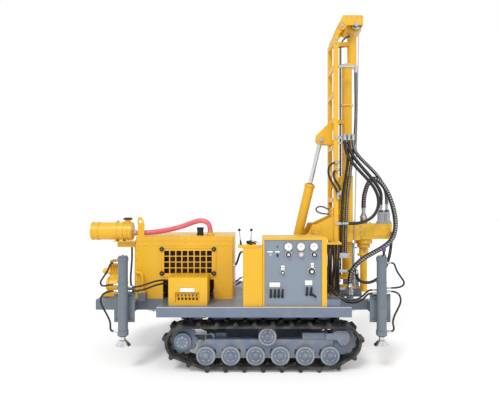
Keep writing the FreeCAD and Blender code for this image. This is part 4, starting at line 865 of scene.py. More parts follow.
# %% Bands, lids, wipers, cones and nuts of the jacks
JACKS = (("tail_right", -1.362, -0.8), ("drill_right", 1.497, -0.8), ("tail_left", -1.362, 0.8),
         ("drill_left", 1.497, 0.8))
JACK_GREY = slots["dark_paint"]
JACK_RADIUS = 0.0545
BANDS = ((1.235, 0.030, 0.005), (0.430, 0.034, 0.006), (0.720, 0.018, 0.004), (0.980, 0.018, 0.004))
WIPER_FORM = ((0.0285, 0), (0.043, 0.001), (0.046, 0.006), (0.046, 0.014), (0.0285, 0.014))
CONE_FORM = ((0.060, 0.000), (0.052, 0.010), (0.034, 0.024), (0.031, 0.040), (0.0280, 0.044),
             (0.0275, 0.0))
bands, screws_jack, rings_jack = [], [], []
for name, x, y in JACKS:
    r = JACK_RADIUS
    for z, width, out in BANDS:
        band = hoop([(r, 0), (r + out, 0.003), (r + out, width - 0.003), (r, width)])
        bands.append(placed(band, (x, y, z), (0, 0, 1)))
    lid = turned([(0.048, 0), (0.052, 0.002), (0.050, 0.010), (0.030, 0.013)], 40)
    bands.append(placed(lid, (x, y, 1.270), (0, 0, 1)))
    screws_jack.append(copies(bolt(0.013, 0.006), ring_places((x, y, 1.282), 0.038, 4, "z", 0.6)))
    screws_jack.append(placed(bolt(0.022, 0.012), (x, y, 1.283), (0, 0, 1)))
    rings_jack.append(placed(hoop(WIPER_FORM), (x, y, 0.394), (0, 0, 1)))
    cone = placed(hoop(CONE_FORM), (x, y, 0.312), (0, 0, 1))
    piece("jack_cone_" + name, cone, JACK_GREY, "jack_" + name)
piece("jack_bands", together(*bands), JACK_GREY)
piece("jack_bolts", together(*screws_jack), STEEL)
piece("jack_wipers", together(*rings_jack), KNOB_BLACK)
FERRULE = 0.049
drill_nuts = [(1.600 - FERRULE, -0.8, z) for z in (0.450, 0.889, 0.928, 1.205)]
tail_nuts = [(-1.465 + FERRULE, -0.8, z) for z in (0.450, 0.894, 0.962, 1.205)]
nuts = [copies(bolt(0.026, 0.010), drill_nuts, (1, 0, 0)),
        copies(bolt(0.026, 0.010), tail_nuts, (-1, 0, 0))]
piece("jack_nuts", together(*nuts), STEEL)
print("jacks", len(JACKS))

# %% [markdown]
# ## Hood and power pack
# The hood is bent sheet: folded seams run along its sides, the grille door is a framed panel held
# by four round rubber latches, and small screws sit on the seams. The sheet belongs to the frame
# and stays as it is, so a seam or a bar is a slim rounded plate laid on it.

# %% Seams, door frame, latches and screws of the hood
YELLOW = slots["yellow_paint"]


def strip(start, end, width, thick, out=NEAR):
    """Slim raised bar from start to end, lying on a face that looks along out."""
    start, end = np.array(start, float), np.array(end, float)
    length = np.linalg.norm(end - start)
    return placed(plate(length, width, thick, width * 0.3, thick * 0.35), (start + end) / 2, out,
                  (end - start) / length)


DOOR_THICK = 0.0041
LATCH_FORM = ((0.024, 0), (0.027, 0.006), (0.027, 0.016), (0.020, 0.024), (0.010, 0.026), (0.009, 0.022))
for name, y, out in (("near", -0.380, (0, -1, 0)), ("far", 0.380, (0, 1, 0))):
    seams = [strip((-1.325, y, z), (-0.158, y, z), 0.010, 0.0035, out=out) for z in (1.354, 1.413)]
    seams += [strip((x, y, 0.725), (x, y, 1.348), 0.008, 0.003, out=out) for x in (-1.310, -0.172)]
    face = y + out[1] * DOOR_THICK
    bars = [strip((-1.030, face, z), (-0.371, face, z), 0.016, 0.007, out=out) for z in (0.987, 1.328)]
    bars += [strip((x, face, 0.987), (x, face, 1.328), 0.016, 0.007, out=out) for x in (-1.028, -0.373)]
    piece("hood_seams_" + name, together(*seams, *bars), YELLOW)
    corners = [(x, face, z) for x in (-1.012, -0.389) for z in (1.023, 1.313)]
    piece("door_latches_" + name, copies(turned(LATCH_FORM, 28), corners, out), slots["hose_rubber"])
    pins = np.array(corners) + (0, out[1] * 0.0235, 0)
    piece("door_latch_pins_" + name, copies(pan_screw(0.007, 0.004), pins, out), STEEL)
    rows = [row((-1.29, y, 1.384), (-0.19, y, 1.384), 9), row((-1.310, y, 0.80), (-1.310, y, 1.30), 5),
            row((-0.172, y, 0.80), (-0.172, y, 1.30), 5)]
    rows[1:] = [r + (0, out[1] * 0.003, 0) for r in rows[1:]]
    piece("hood_screws_" + name, copies(pan_screw(0.0065, 0.0035), np.concatenate(rows), out), STEEL)
HINGE_FORM = ((0.006, 0), (0.0065, 0.03), (0.0065, 0.97), (0.006, 1))
hinges = [limb((x, -0.386, 1.3385), (x + 0.075, -0.386, 1.3385), HINGE_FORM) for x in (-0.93, -0.55)]
piece("door_hinges", together(*hinges), YELLOW)
print("latches on a side", len(corners))

# %% [markdown]
# Behind the tail opening the cooler shows its upright fins with level tubes across them. At this
# size every fin can be its own thin plate: there are under a hundred, and they catch the light
# one by one, which a picture of fins on a flat sheet wouldn't do.

# %% Cooler fins, tubes and shroud
FIN_LOW, FIN_HIGH = 0.79, 1.375
FIN_FACE = -1.2895
fin = plate(0.0012, FIN_HIGH - FIN_LOW, 0.006, 0.0005, 0.0002)
fins = [placed(fin, (FIN_FACE, y, (FIN_LOW + FIN_HIGH) / 2), (-1, 0, 0), (0, 1, 0))
        for y in np.linspace(-0.285, 0.285, 96)]
piece("cooler_fins", together(*fins), slots["bright_steel"])
tubes = [limb((-1.292, -0.292, z), (-1.292, 0.292, z), ((0.0035, 0), (0.0035, 1)), 8)
         for z in np.linspace(0.80, 1.365, 24)]
piece("cooler_tubes", together(*tubes), slots["dark_paint"])
TAIL = (-1, 0, 0)
shroud = [strip((-1.329, s * 0.302, 0.780), (-1.329, s * 0.302, 1.400), 0.036, 0.030, out=TAIL)
          for s in (-1, 1)]
shroud += [strip((-1.329, -0.318, z), (-1.329, 0.318, z), 0.036, 0.030, out=TAIL) for z in (0.784, 1.394)]
piece("cooler_shroud", together(*shroud), YELLOW)
screw_rows = [row((-1.359, s * 0.302, 0.83), (-1.359, s * 0.302, 1.35), 6) for s in (-1, 1)]
piece("shroud_screws", copies(bolt(0.011, 0.005), np.concatenate(screw_rows), TAIL), STEEL)
print("fins", len(fins), "tubes", len(tubes))

# %% [markdown]
# A black exhaust stub stands on the roof, and a flanged collar beside it takes the red intake
# hose. Both are turned forms; two rows of low screws run along the roof's edges.

# %% Exhaust stub, intake collar and roof screws
COLLAR_PLACE = (-0.447, -0.230, 1.463)
stub = turned([(0.030, 0), (0.046, 0.002), (0.046, 0.014), (0.040, 0.018), (0.040, 0.074), (0.046, 0.080),
               (0.047, 0.092), (0.041, 0.096), (0.034, 0.096), (0.033, 0.060)], 40)
stub = placed(stub, (-0.577, -0.160, 1.463), (0, 0, 1))
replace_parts(piece("exhaust_stub", stub, KNOB_BLACK), "hood_fittings")
collar_in = hoop([(0.033, 0), (0.052, 0), (0.054, 0.006), (0.054, 0.012), (0.040, 0.016), (0.038, 0.038),
                  (0.0335, 0.040)], 40)
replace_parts(piece("roof_collar", placed(collar_in, COLLAR_PLACE, (0, 0, 1)), YELLOW), "hood_fittings")
collar_bolts = ring_places((-0.447, -0.230, 1.475), 0.047, 4, "z", 0.5)
piece("roof_collar_bolts", copies(bolt(0.010, 0.005), collar_bolts), STEEL)
roof = np.concatenate([row((-1.29, y, 1.463), (-0.19, y, 1.463), 8) for y in (-0.345, 0.345)])
piece("roof_screws", copies(pan_screw(0.0065, 0.003), roof), STEEL)
print("roof screws", len(roof))

# %% [markdown]
# ## Mast
# The feed chain is a roller chain: two plates a link with a waist between two round ends, set
# inside and outside by turns, and a roller at every pin. It runs up the mast and over a quarter
# circle at the crown.

# %% The chain's line and its links
CHAIN_PITCH = 0.03175
CHAIN_X, CHAIN_LOW, CHAIN_TURN = 1.2005, 0.905, 3.850
CROWN_PIN_X = 1.355


def chain_point(s):
    """Point (x, z) at length s: straight up, then a quarter circle towards the drill end."""
    rise = CHAIN_TURN - CHAIN_LOW
    radius = CROWN_PIN_X - CHAIN_X
    turn = np.clip((s - rise) / radius, 0, math.pi / 2)
    x = CROWN_PIN_X - radius * np.cos(turn)
    z = CHAIN_LOW + np.minimum(s, rise) + radius * np.sin(turn)
    return x, z


def link_plate(inside):
    """Link plate, 2.5 mm thick: two round ends of radius 12 mm joined by a waist 16 mm wide."""
    arc = np.linspace(math.pi * 0.34, math.pi * 1.66, 9)
    left_end = 0.012 * np.column_stack([np.cos(arc), np.sin(arc)])
    right_end = np.column_stack([CHAIN_PITCH - left_end[:, 0], -left_end[:, 1]])
    waist = np.array([(CHAIN_PITCH / 2, -0.008)])
    outline_points = np.concatenate([left_end, waist, right_end, -waist * (-1, 1)])
    low = 0.0085 if inside else 0.0125
    return [thin_plate(outline_points, side * low if side > 0 else -low - 0.0025, 0.0025) for side in (1, -1)]


print("points of a link plate", len(link_plate(True)[0][0]))

# %% [markdown]
# The pins stand at equal steps along the chain's line. Each link lies from one pin to the next,
# so on the quarter circle it is a chord, as on a real chain over its sprocket.

# %% Feed chain
length_chain = (CHAIN_TURN - CHAIN_LOW) + (CROWN_PIN_X - CHAIN_X) * math.pi / 2
pin_count = int(length_chain / CHAIN_PITCH)
pin_x, pin_z = chain_point(np.arange(pin_count) * CHAIN_PITCH)
links = []
for i in range(pin_count - 1):
    ahead = (pin_x[i + 1] - pin_x[i], 0, pin_z[i + 1] - pin_z[i])
    for shape in link_plate(i % 2 == 0):
        links.append(placed(shape, (pin_x[i], 0, pin_z[i]), (0, 1, 0), ahead))
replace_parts(piece("chain_plates", together(*links), metal("chain_steel", "5A5550", 0.42, scale=80.0), "mast"),
            "feed_chain")
roller_shape = turned([(0.0045, -0.0165), (0.0045, -0.0085), (0.0082, -0.0085), (0.0082, 0.0085),
                       (0.0045, 0.0085), (0.0045, 0.0165)], 16)
pins = np.column_stack([pin_x, np.zeros(pin_count), pin_z])
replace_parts(piece("chain_rollers", copies(roller_shape, pins, (0, 1, 0)), STEEL, "mast"), "feed_chain")
anchor = placed(plate(0.110, 0.026, 0.016, 0.003), (1.155, -0.008, 0.895), (0, 1, 0), (1, 0, 0))
anchor_bolt = placed(bolt(0.019, 0.016), (1.2005, 0, 0.871), (0, 0, -1))
piece("chain_anchor", together(anchor, anchor_bolt), STEEL, "mast")
print("chain links", pin_count - 1)

# %% [markdown]
# A weld is a bead of small overlapping ripples laid in a corner. Here it is a limb whose radius
# goes up and down along its length, r (0.8 + 0.2 |sin|), which costs few faces.

# %% Welds of the mast and its support
def weld(start, end, radius=0.0045):
    """Rippled bead from start to end."""
    length = math.dist(start, end)
    count = max(6, int(length / 0.0035))
    share = np.linspace(0, 1, count)
    ripple = radius * (0.80 + 0.20 * np.abs(np.sin(np.arange(count) * 1.1)))
    return limb(start, end, list(zip(ripple, share)), 8)


TIES = [0.880 + 0.330 * i for i in range(10)]
beads = []
for s in (-1, 1):
    for z in TIES + [0.800]:
        beads.append(weld((1.1005, s * 0.1795, z), (1.1005, s * 0.1795, z + 0.060)))
    for y in (0.1800, 0.2200):
        beads.append(weld((1.0745, s * y, 1.382), (1.0745, s * y, 1.698), 0.005))
    beads.append(weld((1.0745, s * 0.0560, 2.602), (1.0745, s * 0.0560, 2.898), 0.005))
piece("mast_welds", together(*beads), YELLOW, "mast")
base_beads = [weld((0.432, s * y, 0.728), (0.958, s * y, 0.728), 0.006)
              for s in (-1, 1) for y in (0.228, 0.248)]
piece("support_welds", together(*base_beads), YELLOW)
print("welds", len(beads) + len(base_beads))

# %% [markdown]
# Bolted flanges hold the feed cylinder's joints, and a low dome closes its top. A flange is a
# ring with a closed profile, and its bolts stand in a circle on its upper face. The flanges are
# painted a paler yellow than the mast: a painted highlight.

# %% Flanges and dome of the feed cylinder
FLANGE_FORM = ((0.0625, 0), (0.080, 0.0), (0.082, 0.002), (0.082, 0.011), (0.080, 0.013), (0.0625, 0.013))
FLANGE_ZS = (3.098, 3.611, 0.902)
# the paler yellow of the flanges is a painted highlight
pale = paint("flange_painted_highlight", "F3D36A", gloss=0.30, dust=0.0)
flange_places = [(1.285, 0, z) for z in FLANGE_ZS]
piece("feed_flanges", copies(hoop(FLANGE_FORM, 48), flange_places), pale, "mast")
circles = [ring_places((1.285, 0, z + 0.013), 0.073, 8, "z", 0.39) for z in FLANGE_ZS[:2]]
piece("feed_flange_bolts", copies(bolt(0.011, 0.006), np.concatenate(circles)), STEEL, "mast")
dome = turned([(0.0575, 0), (0.0570, 0.004), (0.0500, 0.009), (0.0300, 0.0115), (0.0120, 0.012)], 44)
piece("feed_dome", placed(dome, (1.347, 0, 3.968), (0, 0, 1)), YELLOW, "mast")
print("flanges", len(flange_places))

# %% [markdown]
# The crown has a ring of bolts round its boss and a cap over the sheave's pin. Two bolts on each
# side hold the tilt pins, and a keeper plate holds the pin of the tilt cylinder.

# %% Bolts of the crown and of the tilt pins
CROWN_ROW = [(1.245, 4.165), (1.305, 4.165), (1.365, 4.165), (1.420, 4.165), (1.420, 4.085)]
crown_bolts, pivot_bolts = [], []
for s in (-1, 1):
    out = (0, s, 0)
    boss_ring = ring_places((1.181, s * 0.210, 4.059), 0.038, 6, "y", 0.3)
    crown_bolts.append(copies(bolt(0.015, 0.007), boss_ring, out))
    crown_bolts.append(copies(bolt(0.013, 0.006), [(x, s * 0.210, z) for x, z in CROWN_ROW], out))
    crown_bolts.append(copies(bolt(0.019, 0.009), [(1.103, s * 0.240, z) for z in (3.880, 3.830)], out))
    pivot_bolts.append(copies(bolt(0.015, 0.007), [(x, s * 0.262, 1.530) for x in (0.822, 0.878)], out))
piece("crown_bolts", together(*crown_bolts), STEEL, "mast")
piece("pivot_bolts", together(*pivot_bolts), STEEL)
sheave_cap = turned([(0.026, 0), (0.026, 0.006), (0.020, 0.012), (0.008, 0.013)], 28)
piece("sheave_cap", placed(sheave_cap, (1.358, -0.210, 4.071), NEAR), STEEL, "mast")
keeper = placed(plate(0.090, 0.030, 0.006, 0.006), (0.632, -0.258, 1.350), NEAR, (1, 0, 0))
keeper_bolts = copies(bolt(0.013, 0.006), [(x, -0.264, 1.350) for x in (0.600, 0.664)], NEAR)
piece("cylinder_keeper", together(keeper, keeper_bolts), STEEL)
for s in (-1, 1):
    piece("eye_nut_%s" % ("near" if s < 0 else "far"),
          placed(bolt(0.046, 0.020, 0.004), (0.945, s * 0.066, 2.660), (0, s, 0)), STEEL, "mast")
CYLINDER_BASE = np.array([0.632, 0, 1.350])
CYLINDER_EYE = np.array([0.945, 0, 2.660])
BARREL_LENGTH = 0.771
upwards = (CYLINDER_EYE - CYLINDER_BASE) / np.linalg.norm(CYLINDER_EYE - CYLINDER_BASE)
wiper = hoop([(0.0280, 0), (0.050, 0), (0.050, 0.006), (0.040, 0.012), (0.0280, 0.012)], 36)
wiper = placed(wiper, CYLINDER_BASE + BARREL_LENGTH * upwards, upwards)
piece("barrel_wiper", wiper, KNOB_BLACK, "lift_barrel")
print("crown bolts in groups", len(crown_bolts))

# %% [markdown]
# ## Hoses
# The rig's hoses are what it looks busiest with. Each follows a short list of given points, the
# same route as its solid in the frame. A NURBS line through them bends smoothly, and a tube is
# carried along that line: at each point a circle stands square to the line.

# %% Routes of the head's and the mast's hoses, in metres
AIR_ROUTE = (
    (1.257, -0.285, 0.885), (1.257, -0.285, 0.97), (1.294, -0.285, 1.064), (1.392, -0.28, 1.168),
    (1.541, -0.27, 1.252), (1.694, -0.25, 1.33), (1.812, -0.22, 1.43), (1.849, -0.205, 1.591),
    (1.82, -0.2, 1.79), (1.764, -0.19, 1.965), (1.69, -0.165, 2.105), (1.607, -0.122, 2.18),
    (1.546, -0.072, 2.137), (1.512, -0.024, 2.02), (1.497, 0, 1.905), (1.497, 0, 1.797),
)
DRAIN_ROUTE = (
    (1.2, -0.27, 2.63), (1.2, -0.27, 2.545), (1.24, -0.272, 2.43), (1.32, -0.276, 2.32),
    (1.425, -0.28, 2.205), (1.54, -0.275, 2.085), (1.612, -0.262, 1.95), (1.618, -0.258, 1.815),
    (1.56, -0.262, 1.705), (1.462, -0.27, 1.64), (1.35, -0.2733, 1.612), (1.24, -0.2733, 1.612),
)
MOTOR_A_ROUTE = (
    (1.25, -0.27, 2.63), (1.25, -0.27, 2.55), (1.296, -0.27, 2.44), (1.385, -0.268, 2.33),
    (1.49, -0.262, 2.215), (1.592, -0.25, 2.095), (1.662, -0.185, 2), (1.694, -0.105, 1.945),
    (1.7, -0.066, 1.895), (1.7, -0.066, 1.84),
)
MOTOR_B_ROUTE = (
    (1.3, -0.27, 2.63), (1.3, -0.27, 2.56), (1.345, -0.264, 2.465), (1.43, -0.24, 2.38),
    (1.54, -0.195, 2.29), (1.655, -0.12, 2.19), (1.74, -0.05, 2.085), (1.788, 0.01, 1.985),
    (1.802, 0.03, 1.91), (1.802, 0.03, 1.85),
)
CASE_ROUTE = (
    (1.345, -0.27, 1), (1.345, -0.27, 0.95), (1.4, -0.264, 0.9), (1.5, -0.25, 0.88),
    (1.612, -0.232, 0.925), (1.7, -0.215, 1.03), (1.758, -0.2, 1.16), (1.792, -0.17, 1.29),
    (1.812, -0.125, 1.37), (1.812, -0.125, 1.42),
)
MAST_A_ROUTE = (
    (1.345, -0.222, 3.468), (1.345, -0.222, 3.3), (1.349, -0.222, 3.1), (1.346, -0.222, 2.88),
    (1.336, -0.222, 2.66), (1.308, -0.222, 2.44), (1.272, -0.222, 2.22), (1.246, -0.222, 2),
    (1.23, -0.222, 1.78), (1.222, -0.222, 1.57), (1.216, -0.222, 1.4), (1.216, -0.222, 1.25),
)
MAST_B_ROUTE = (
    (1.25, -0.222, 2.53), (1.25, -0.222, 2.41), (1.23, -0.222, 2.24), (1.198, -0.222, 2.05),
    (1.18, -0.222, 1.85), (1.17, -0.222, 1.64), (1.165, -0.222, 1.44), (1.165, -0.222, 1.25),
)
print("points of the air hose", len(AIR_ROUTE))

# %% [markdown]
# Small hoses loop from port to port of the near jacks and link them to the valves. The thick red
# one takes the engine's air from the cleaner to the roof. Their points are lists too, because a
# hose that somebody has laid by hand follows no simple formula.

# %% Routes of the jacks' hoses, the links and the intake
JACK_HOSES = (
    (
        (1.6, -0.8, 0.928), (1.652, -0.8, 0.928), (1.728, -0.8, 0.944), (1.752, -0.8, 0.988),
        (1.716, -0.8, 1.04), (1.676, -0.8, 1.096), (1.652, -0.8, 1.15), (1.64, -0.8, 1.19),
        (1.618, -0.8, 1.205), (1.6, -0.8, 1.205),
    ),
    (
        (1.6, -0.8, 0.889), (1.65, -0.8, 0.889), (1.702, -0.8, 0.846), (1.712, -0.8, 0.772),
        (1.676, -0.8, 0.694), (1.636, -0.8, 0.618), (1.618, -0.8, 0.54), (1.634, -0.8, 0.492),
        (1.63, -0.8, 0.462), (1.616, -0.8, 0.45), (1.6, -0.8, 0.45),
    ),
    (
        (-1.465, -0.8, 0.962), (-1.518, -0.8, 0.962), (-1.59, -0.8, 0.944), (-1.618, -0.8, 0.986),
        (-1.584, -0.8, 1.04), (-1.545, -0.8, 1.096), (-1.518, -0.8, 1.15), (-1.505, -0.8, 1.19),
        (-1.483, -0.8, 1.205), (-1.465, -0.8, 1.205),
    ),
    (
        (-1.465, -0.8, 0.894), (-1.516, -0.8, 0.894), (-1.6, -0.8, 0.85), (-1.614, -0.8, 0.772),
        (-1.576, -0.8, 0.694), (-1.53, -0.8, 0.618), (-1.5, -0.8, 0.54), (-1.503, -0.8, 0.492),
        (-1.498, -0.8, 0.463), (-1.482, -0.8, 0.45), (-1.465, -0.8, 0.45),
    ),
)
LINK_HOSES = (
    (
        (-1.259, -0.8, 0.939), (-1.2, -0.8, 0.939), (-1.12, -0.775, 0.96), (-1.035, -0.725, 0.986),
        (-0.955, -0.668, 0.992), (-0.915, -0.64, 0.985), (-0.875, -0.64, 0.985),
    ),
    (
        (-1.259, -0.8, 0.894), (-1.196, -0.8, 0.894), (-1.115, -0.77, 0.91), (-1.03, -0.71, 0.94),
        (-0.955, -0.64, 0.948), (-0.915, -0.6, 0.94), (-0.875, -0.6, 0.94),
    ),
    (
        (0.893, -0.6, 0.93), (0.938, -0.6, 0.93), (1, -0.625, 0.87), (1.08, -0.655, 0.8),
        (1.19, -0.69, 0.752), (1.29, -0.742, 0.812), (1.336, -0.784, 0.88), (1.361, -0.8, 0.905),
        (1.394, -0.8, 0.905),
    ),
    (
        (0.893, -0.56, 0.89), (0.94, -0.56, 0.89), (1.01, -0.58, 0.822), (1.1, -0.61, 0.75),
        (1.205, -0.655, 0.722), (1.295, -0.725, 0.77), (1.337, -0.778, 0.842), (1.361, -0.8, 0.868),
        (1.394, -0.8, 0.868),
    ),
)
INTAKE_ROUTE = (
    (-1.335, -0.33, 1.503), (-1.245, -0.33, 1.503), (-1.11, -0.31, 1.512), (-0.95, -0.285, 1.536),
    (-0.8, -0.262, 1.572), (-0.68, -0.245, 1.617), (-0.58, -0.236, 1.65), (-0.5, -0.231, 1.64),
    (-0.447, -0.23, 1.58), (-0.447, -0.23, 1.503),
)
AIR_RADIUS = 0.025
HEAD_RADIUS = 0.019
MAST_RADIUS = 0.017
SMALL_RADIUS = 0.0105
BUNDLE_RADIUS = 0.012
INTAKE_RADIUS = 0.030
print("routes of the jacks", len(JACK_HOSES) + len(LINK_HOSES))

# %% [markdown]
# A line through a few points could be drawn as a curve with a round bevel, but then nothing could
# be wound on it. So the line is only read from the curve, as points at even steps, and the tube's
# rings are worked out from those.

# %% A line through a route
def spine(route, detail=14):
    """Points read from the NURBS line that has the route's points as its control points."""
    curve = bpy.data.curves.new("spine", "CURVE")
    curve.dimensions = "3D"
    curve.resolution_u = detail
    spline = curve.splines.new("NURBS")
    spline.points.add(len(route) - 1)
    spline.points.foreach_set("co", np.column_stack([route, np.ones(len(route))]).ravel())
    spline.order_u = 3
    spline.use_endpoint_u = True
    holder = bpy.data.objects.new("spine", curve)
    bpy.context.scene.collection.objects.link(holder)
    bpy.context.view_layer.update()
    ready = holder.evaluated_get(bpy.context.evaluated_depsgraph_get())
    mesh = bpy.data.meshes.new_from_object(ready)
    points = np.empty(len(mesh.vertices) * 3)
    mesh.vertices.foreach_get("co", points)
    bpy.data.objects.remove(holder)
    bpy.data.curves.remove(curve)
    bpy.data.meshes.remove(mesh)
    return points.reshape(-1, 3)


def along(line, step):
    """Line read again at even steps: positions and the length gone at each."""
    lengths = np.concatenate([[0], np.cumsum(np.linalg.norm(np.diff(line, axis=0), axis=1))])
    gone = np.linspace(0, lengths[-1], max(3, int(round(lengths[-1] / step)) + 1))
    return np.column_stack([np.interp(gone, lengths, line[:, i]) for i in range(3)]), gone


print("points of the air hose's line", len(spine(AIR_ROUTE)))

# %% [markdown]
# The tube is a circle carried along the line. What makes one hose differ from another is only how
# its radius changes with the length and the angle, so each kind of hose is a small function of
# those two: plain rubber, a spiral guard, or ribs over a wire.

# %% A tube along a line, and the kinds of hose
def tube(line, radius_at, step, around=16, across=(0, 1, 0)):
    """Circle carried along a line. The circle's first axis is the part of across that is square
    to the line, its second is square to both, and radius_at(length, angle) gives its radius."""
    points, gone = along(line, step)
    ahead = np.gradient(points, axis=0)
    ahead /= np.linalg.norm(ahead, axis=1)[:, None]
    first = np.array(across, float) - ahead * (ahead @ np.array(across, float))[:, None]
    first /= np.linalg.norm(first, axis=1)[:, None]
    second = np.cross(ahead, first)
    angle = np.arange(around) * 2 * math.pi / around
    radius = np.broadcast_to(radius_at(gone[:, None], angle[None]), (len(gone), around))[..., None]
    cosine, sine = np.cos(angle)[None, :, None], np.sin(angle)[None, :, None]
    return rings_shape(points[:, None] + radius * (first[:, None] * cosine + second[:, None] * sine))


def plain(radius):
    """Radius of a smooth hose."""
    return lambda length, angle: radius + 0 * length * angle


def guarded(radius, pitch=0.024, rise=0.0036):
    """Radius of a hose in a spiral guard: a flat strip wound on it, with a narrow open slit.
    The strip stands rise proud wherever the turn's share lies outside the slit."""
    def at(length, angle):
        turn = (length / pitch - angle / (2 * math.pi)) % 1.0
        strip = np.clip((0.5 - np.abs(turn - 0.5)) / 0.14, 0, 1)
        return radius - 0.0012 + rise * strip
    return at


def ribbed(radius, pitch=0.013, rise=0.0016):
    """Radius of a hose wound round a wire: one soft rib at each pitch."""
    return lambda length, angle: radius - rise / 2 + rise * np.abs(
        np.cos(math.pi * length / pitch + angle / 2))


print("a guard's radius runs from", round(float(guarded(HEAD_RADIUS)(0.0, 0.0)), 4), "m")

# %% [markdown]
# A guard gets a painted highlight: a pale stripe along the middle of its strip, on the side that
# faces -Y, towards the camera. It can't be a picture, so it is an attribute on the hose's points
# that the guard's finish reads.

# %% The guard's painted highlight, and a hose with its cord
def add_painted_highlight(made, line, step, around, pitch):
    """Attribute of the guard's painted highlight: a pale stripe on the middle of its strip, on the side that
    faces -Y.
    It is strip (-cos angle)^14, where strip is 1 over the middle of each turn's strip."""
    gone = along(line, step)[1][:, None]
    angle = np.arange(around)[None] * 2 * math.pi / around
    turn = (gone / pitch - angle / (2 * math.pi)) % 1.0
    strip = np.clip((0.26 - np.abs(turn - 0.5)) / 0.10, 0, 1)
    # share is the painted highlight: a narrow stripe on the strip's middle, on the side facing -Y
    share = (strip * np.clip(-np.cos(angle), 0, 1) ** 14).ravel()
    values = np.zeros(len(made.data.vertices))
    values[:share.size] = share
    made.data.attributes.new("wear_and_highlight", "FLOAT", "POINT").data.foreach_set("value", values)


def cord(name, route, radius_at, body, finish, step=0.012, around=16,
         pitch=None):
    """Hose along a route, riding on its body."""
    line = spine(route)
    made = piece(name, tube(line, radius_at, step, around), finish, body or "chassis")
    if pitch:
        add_painted_highlight(made, line, step, around, pitch)
    if body is None:
        made.parent = None
    return made


print("helpers ready for", SMALL_RADIUS, "to", INTAKE_RADIUS, "m")

# %% [markdown]
# The guards' finish is black plastic that turns pale where the painted highlight attribute is high,
# and a broad noise makes the painted highlight uneven along the hose.

# %% The guards' finish
rubber_black = slots["hose_rubber"]
guard = Finish("guard_black", 0.22)
# where the attribute is high the guard turns pale D2D2D4: a painted highlight
highlit = guard.node("ShaderNodeAttribute", attribute_name="wear_and_highlight").outputs["Fac"]
drift = guard.ramp(guard.noise(9.0, 4.0), 0.35, 0.7, 0.55, 1.0)
guard.colour(guard.mix(guard.times(highlit, drift), linear("161618"), linear("D2D2D4")))
guard.bump(guard.noise(240.0, 3.0), 0.12, 0.001)
guard_black = guard.material
print("finish", guard_black.name)

# %% [markdown]
# ## Hoses between the mast and the head
# The head slides on the mast, so a real hose between them bends as it goes; here such a hose is
# left on no body, in the rig's own frame. A hose with both ends on one body just rides on it.

# %% Hoses between the mast and the head
# hoses whose guards carry the painted highlight
HIGHLIGHTED = ("motor_hose_b", "mast_hose_a")
air_hose = cord("air_hose", AIR_ROUTE, guarded(AIR_RADIUS, 0.030, 0.0055), None, guard_black,
                step=0.005, around=20, pitch=0.030)
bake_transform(air_hose)
for name, route, radius_at, step in (
        ("motor_hose_a", MOTOR_A_ROUTE, guarded(HEAD_RADIUS), 0.004),
        ("motor_hose_b", MOTOR_B_ROUTE, guarded(HEAD_RADIUS), 0.004),
        ("case_hose", CASE_ROUTE, plain(HEAD_RADIUS), 0.012)):
    hose = cord(name, route, radius_at, None, guard_black, step,
                pitch=0.024 if name in HIGHLIGHTED else None)
    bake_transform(hose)
    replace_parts(hose, "head_hoses")
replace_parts(air_hose, "head_hoses")
cord("drain_hose", DRAIN_ROUTE, plain(HEAD_RADIUS), "mast", rubber_black)
print("hoses of the head", 4)

# %% [markdown]
# Two hoses stay along the mast's near side. The small hoses of the jacks and the five behind the
# console all ride on the chassis; the five sway a little to the left and right by turns, so that
# they don't look copied.

# %% Hoses of the mast, the jacks and the console, and the intake hose
for name, route, radius_at, step in (("mast_hose_a", MAST_A_ROUTE, guarded(MAST_RADIUS), 0.004),
                                     ("mast_hose_b", MAST_B_ROUTE, plain(MAST_RADIUS), 0.012)):
    hose = cord(name, route, radius_at, "mast", guard_black, step,
                pitch=0.024 if name in HIGHLIGHTED else None)
    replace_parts(hose, "mast_hoses")
for kind, routes in (("jack", JACK_HOSES), ("link", LINK_HOSES)):
    for i, route in enumerate(routes):
        hose = cord("%s_hose_%d" % (kind, i + 1), route, plain(SMALL_RADIUS), "chassis",
                    rubber_black, 0.008, 12)
        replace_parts(hose, "jack_hoses")
BUNDLE_XS = (0.925, 0.970, 1.015, 1.060, 1.105)
BUNDLE_Y = -0.400
for i, x in enumerate(BUNDLE_XS):
    sway = 0.014 if i % 2 else -0.012
    route = ((x, -0.4, 1.37), (x, -0.4, 1.29), (x + sway, -0.404, 1.16), (x - 0.005, -0.397, 1.03),
             (x + sway / 2, -0.4, 0.91), (x, -0.4, 0.82), (x, -0.4, 0.76))
    hose = cord("console_hose_%d" % (i + 1), route, plain(BUNDLE_RADIUS), "chassis",
                rubber_black, 0.012, 14)
    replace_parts(hose, "console_hoses")
intake = cord("intake_hose_wound", INTAKE_ROUTE, ribbed(INTAKE_RADIUS), "chassis",
              slots["intake_rubber"], 0.0026, 20)
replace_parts(intake, "intake_hose")
print("intake hose's ribs", round(len(intake.data.vertices) / 20 * 0.0026 / 0.013))

# %% [markdown]
# ## Rope
# The winch rope runs from the crown's sheave to its anchor at the mast's foot. Its six strands show
# as a shallow wave round the rope that turns once in each lay.

# %% The winch rope
ROPE_TOP = (1.399, -0.165, 4.071)
ROPE_FOOT = (1.334, -0.165, 0.950)
ROPE_RADIUS = 0.006
ROPE_LAY = 0.045


def strands(length, angle):
    """Radius r (0.91 + 0.09 |cos 3 (angle - turn)|): six crests, with one turn in each lay."""
    turn = 2 * math.pi * length / ROPE_LAY
    return ROPE_RADIUS * (0.91 + 0.09 * np.abs(np.cos(3 * (angle - turn))))


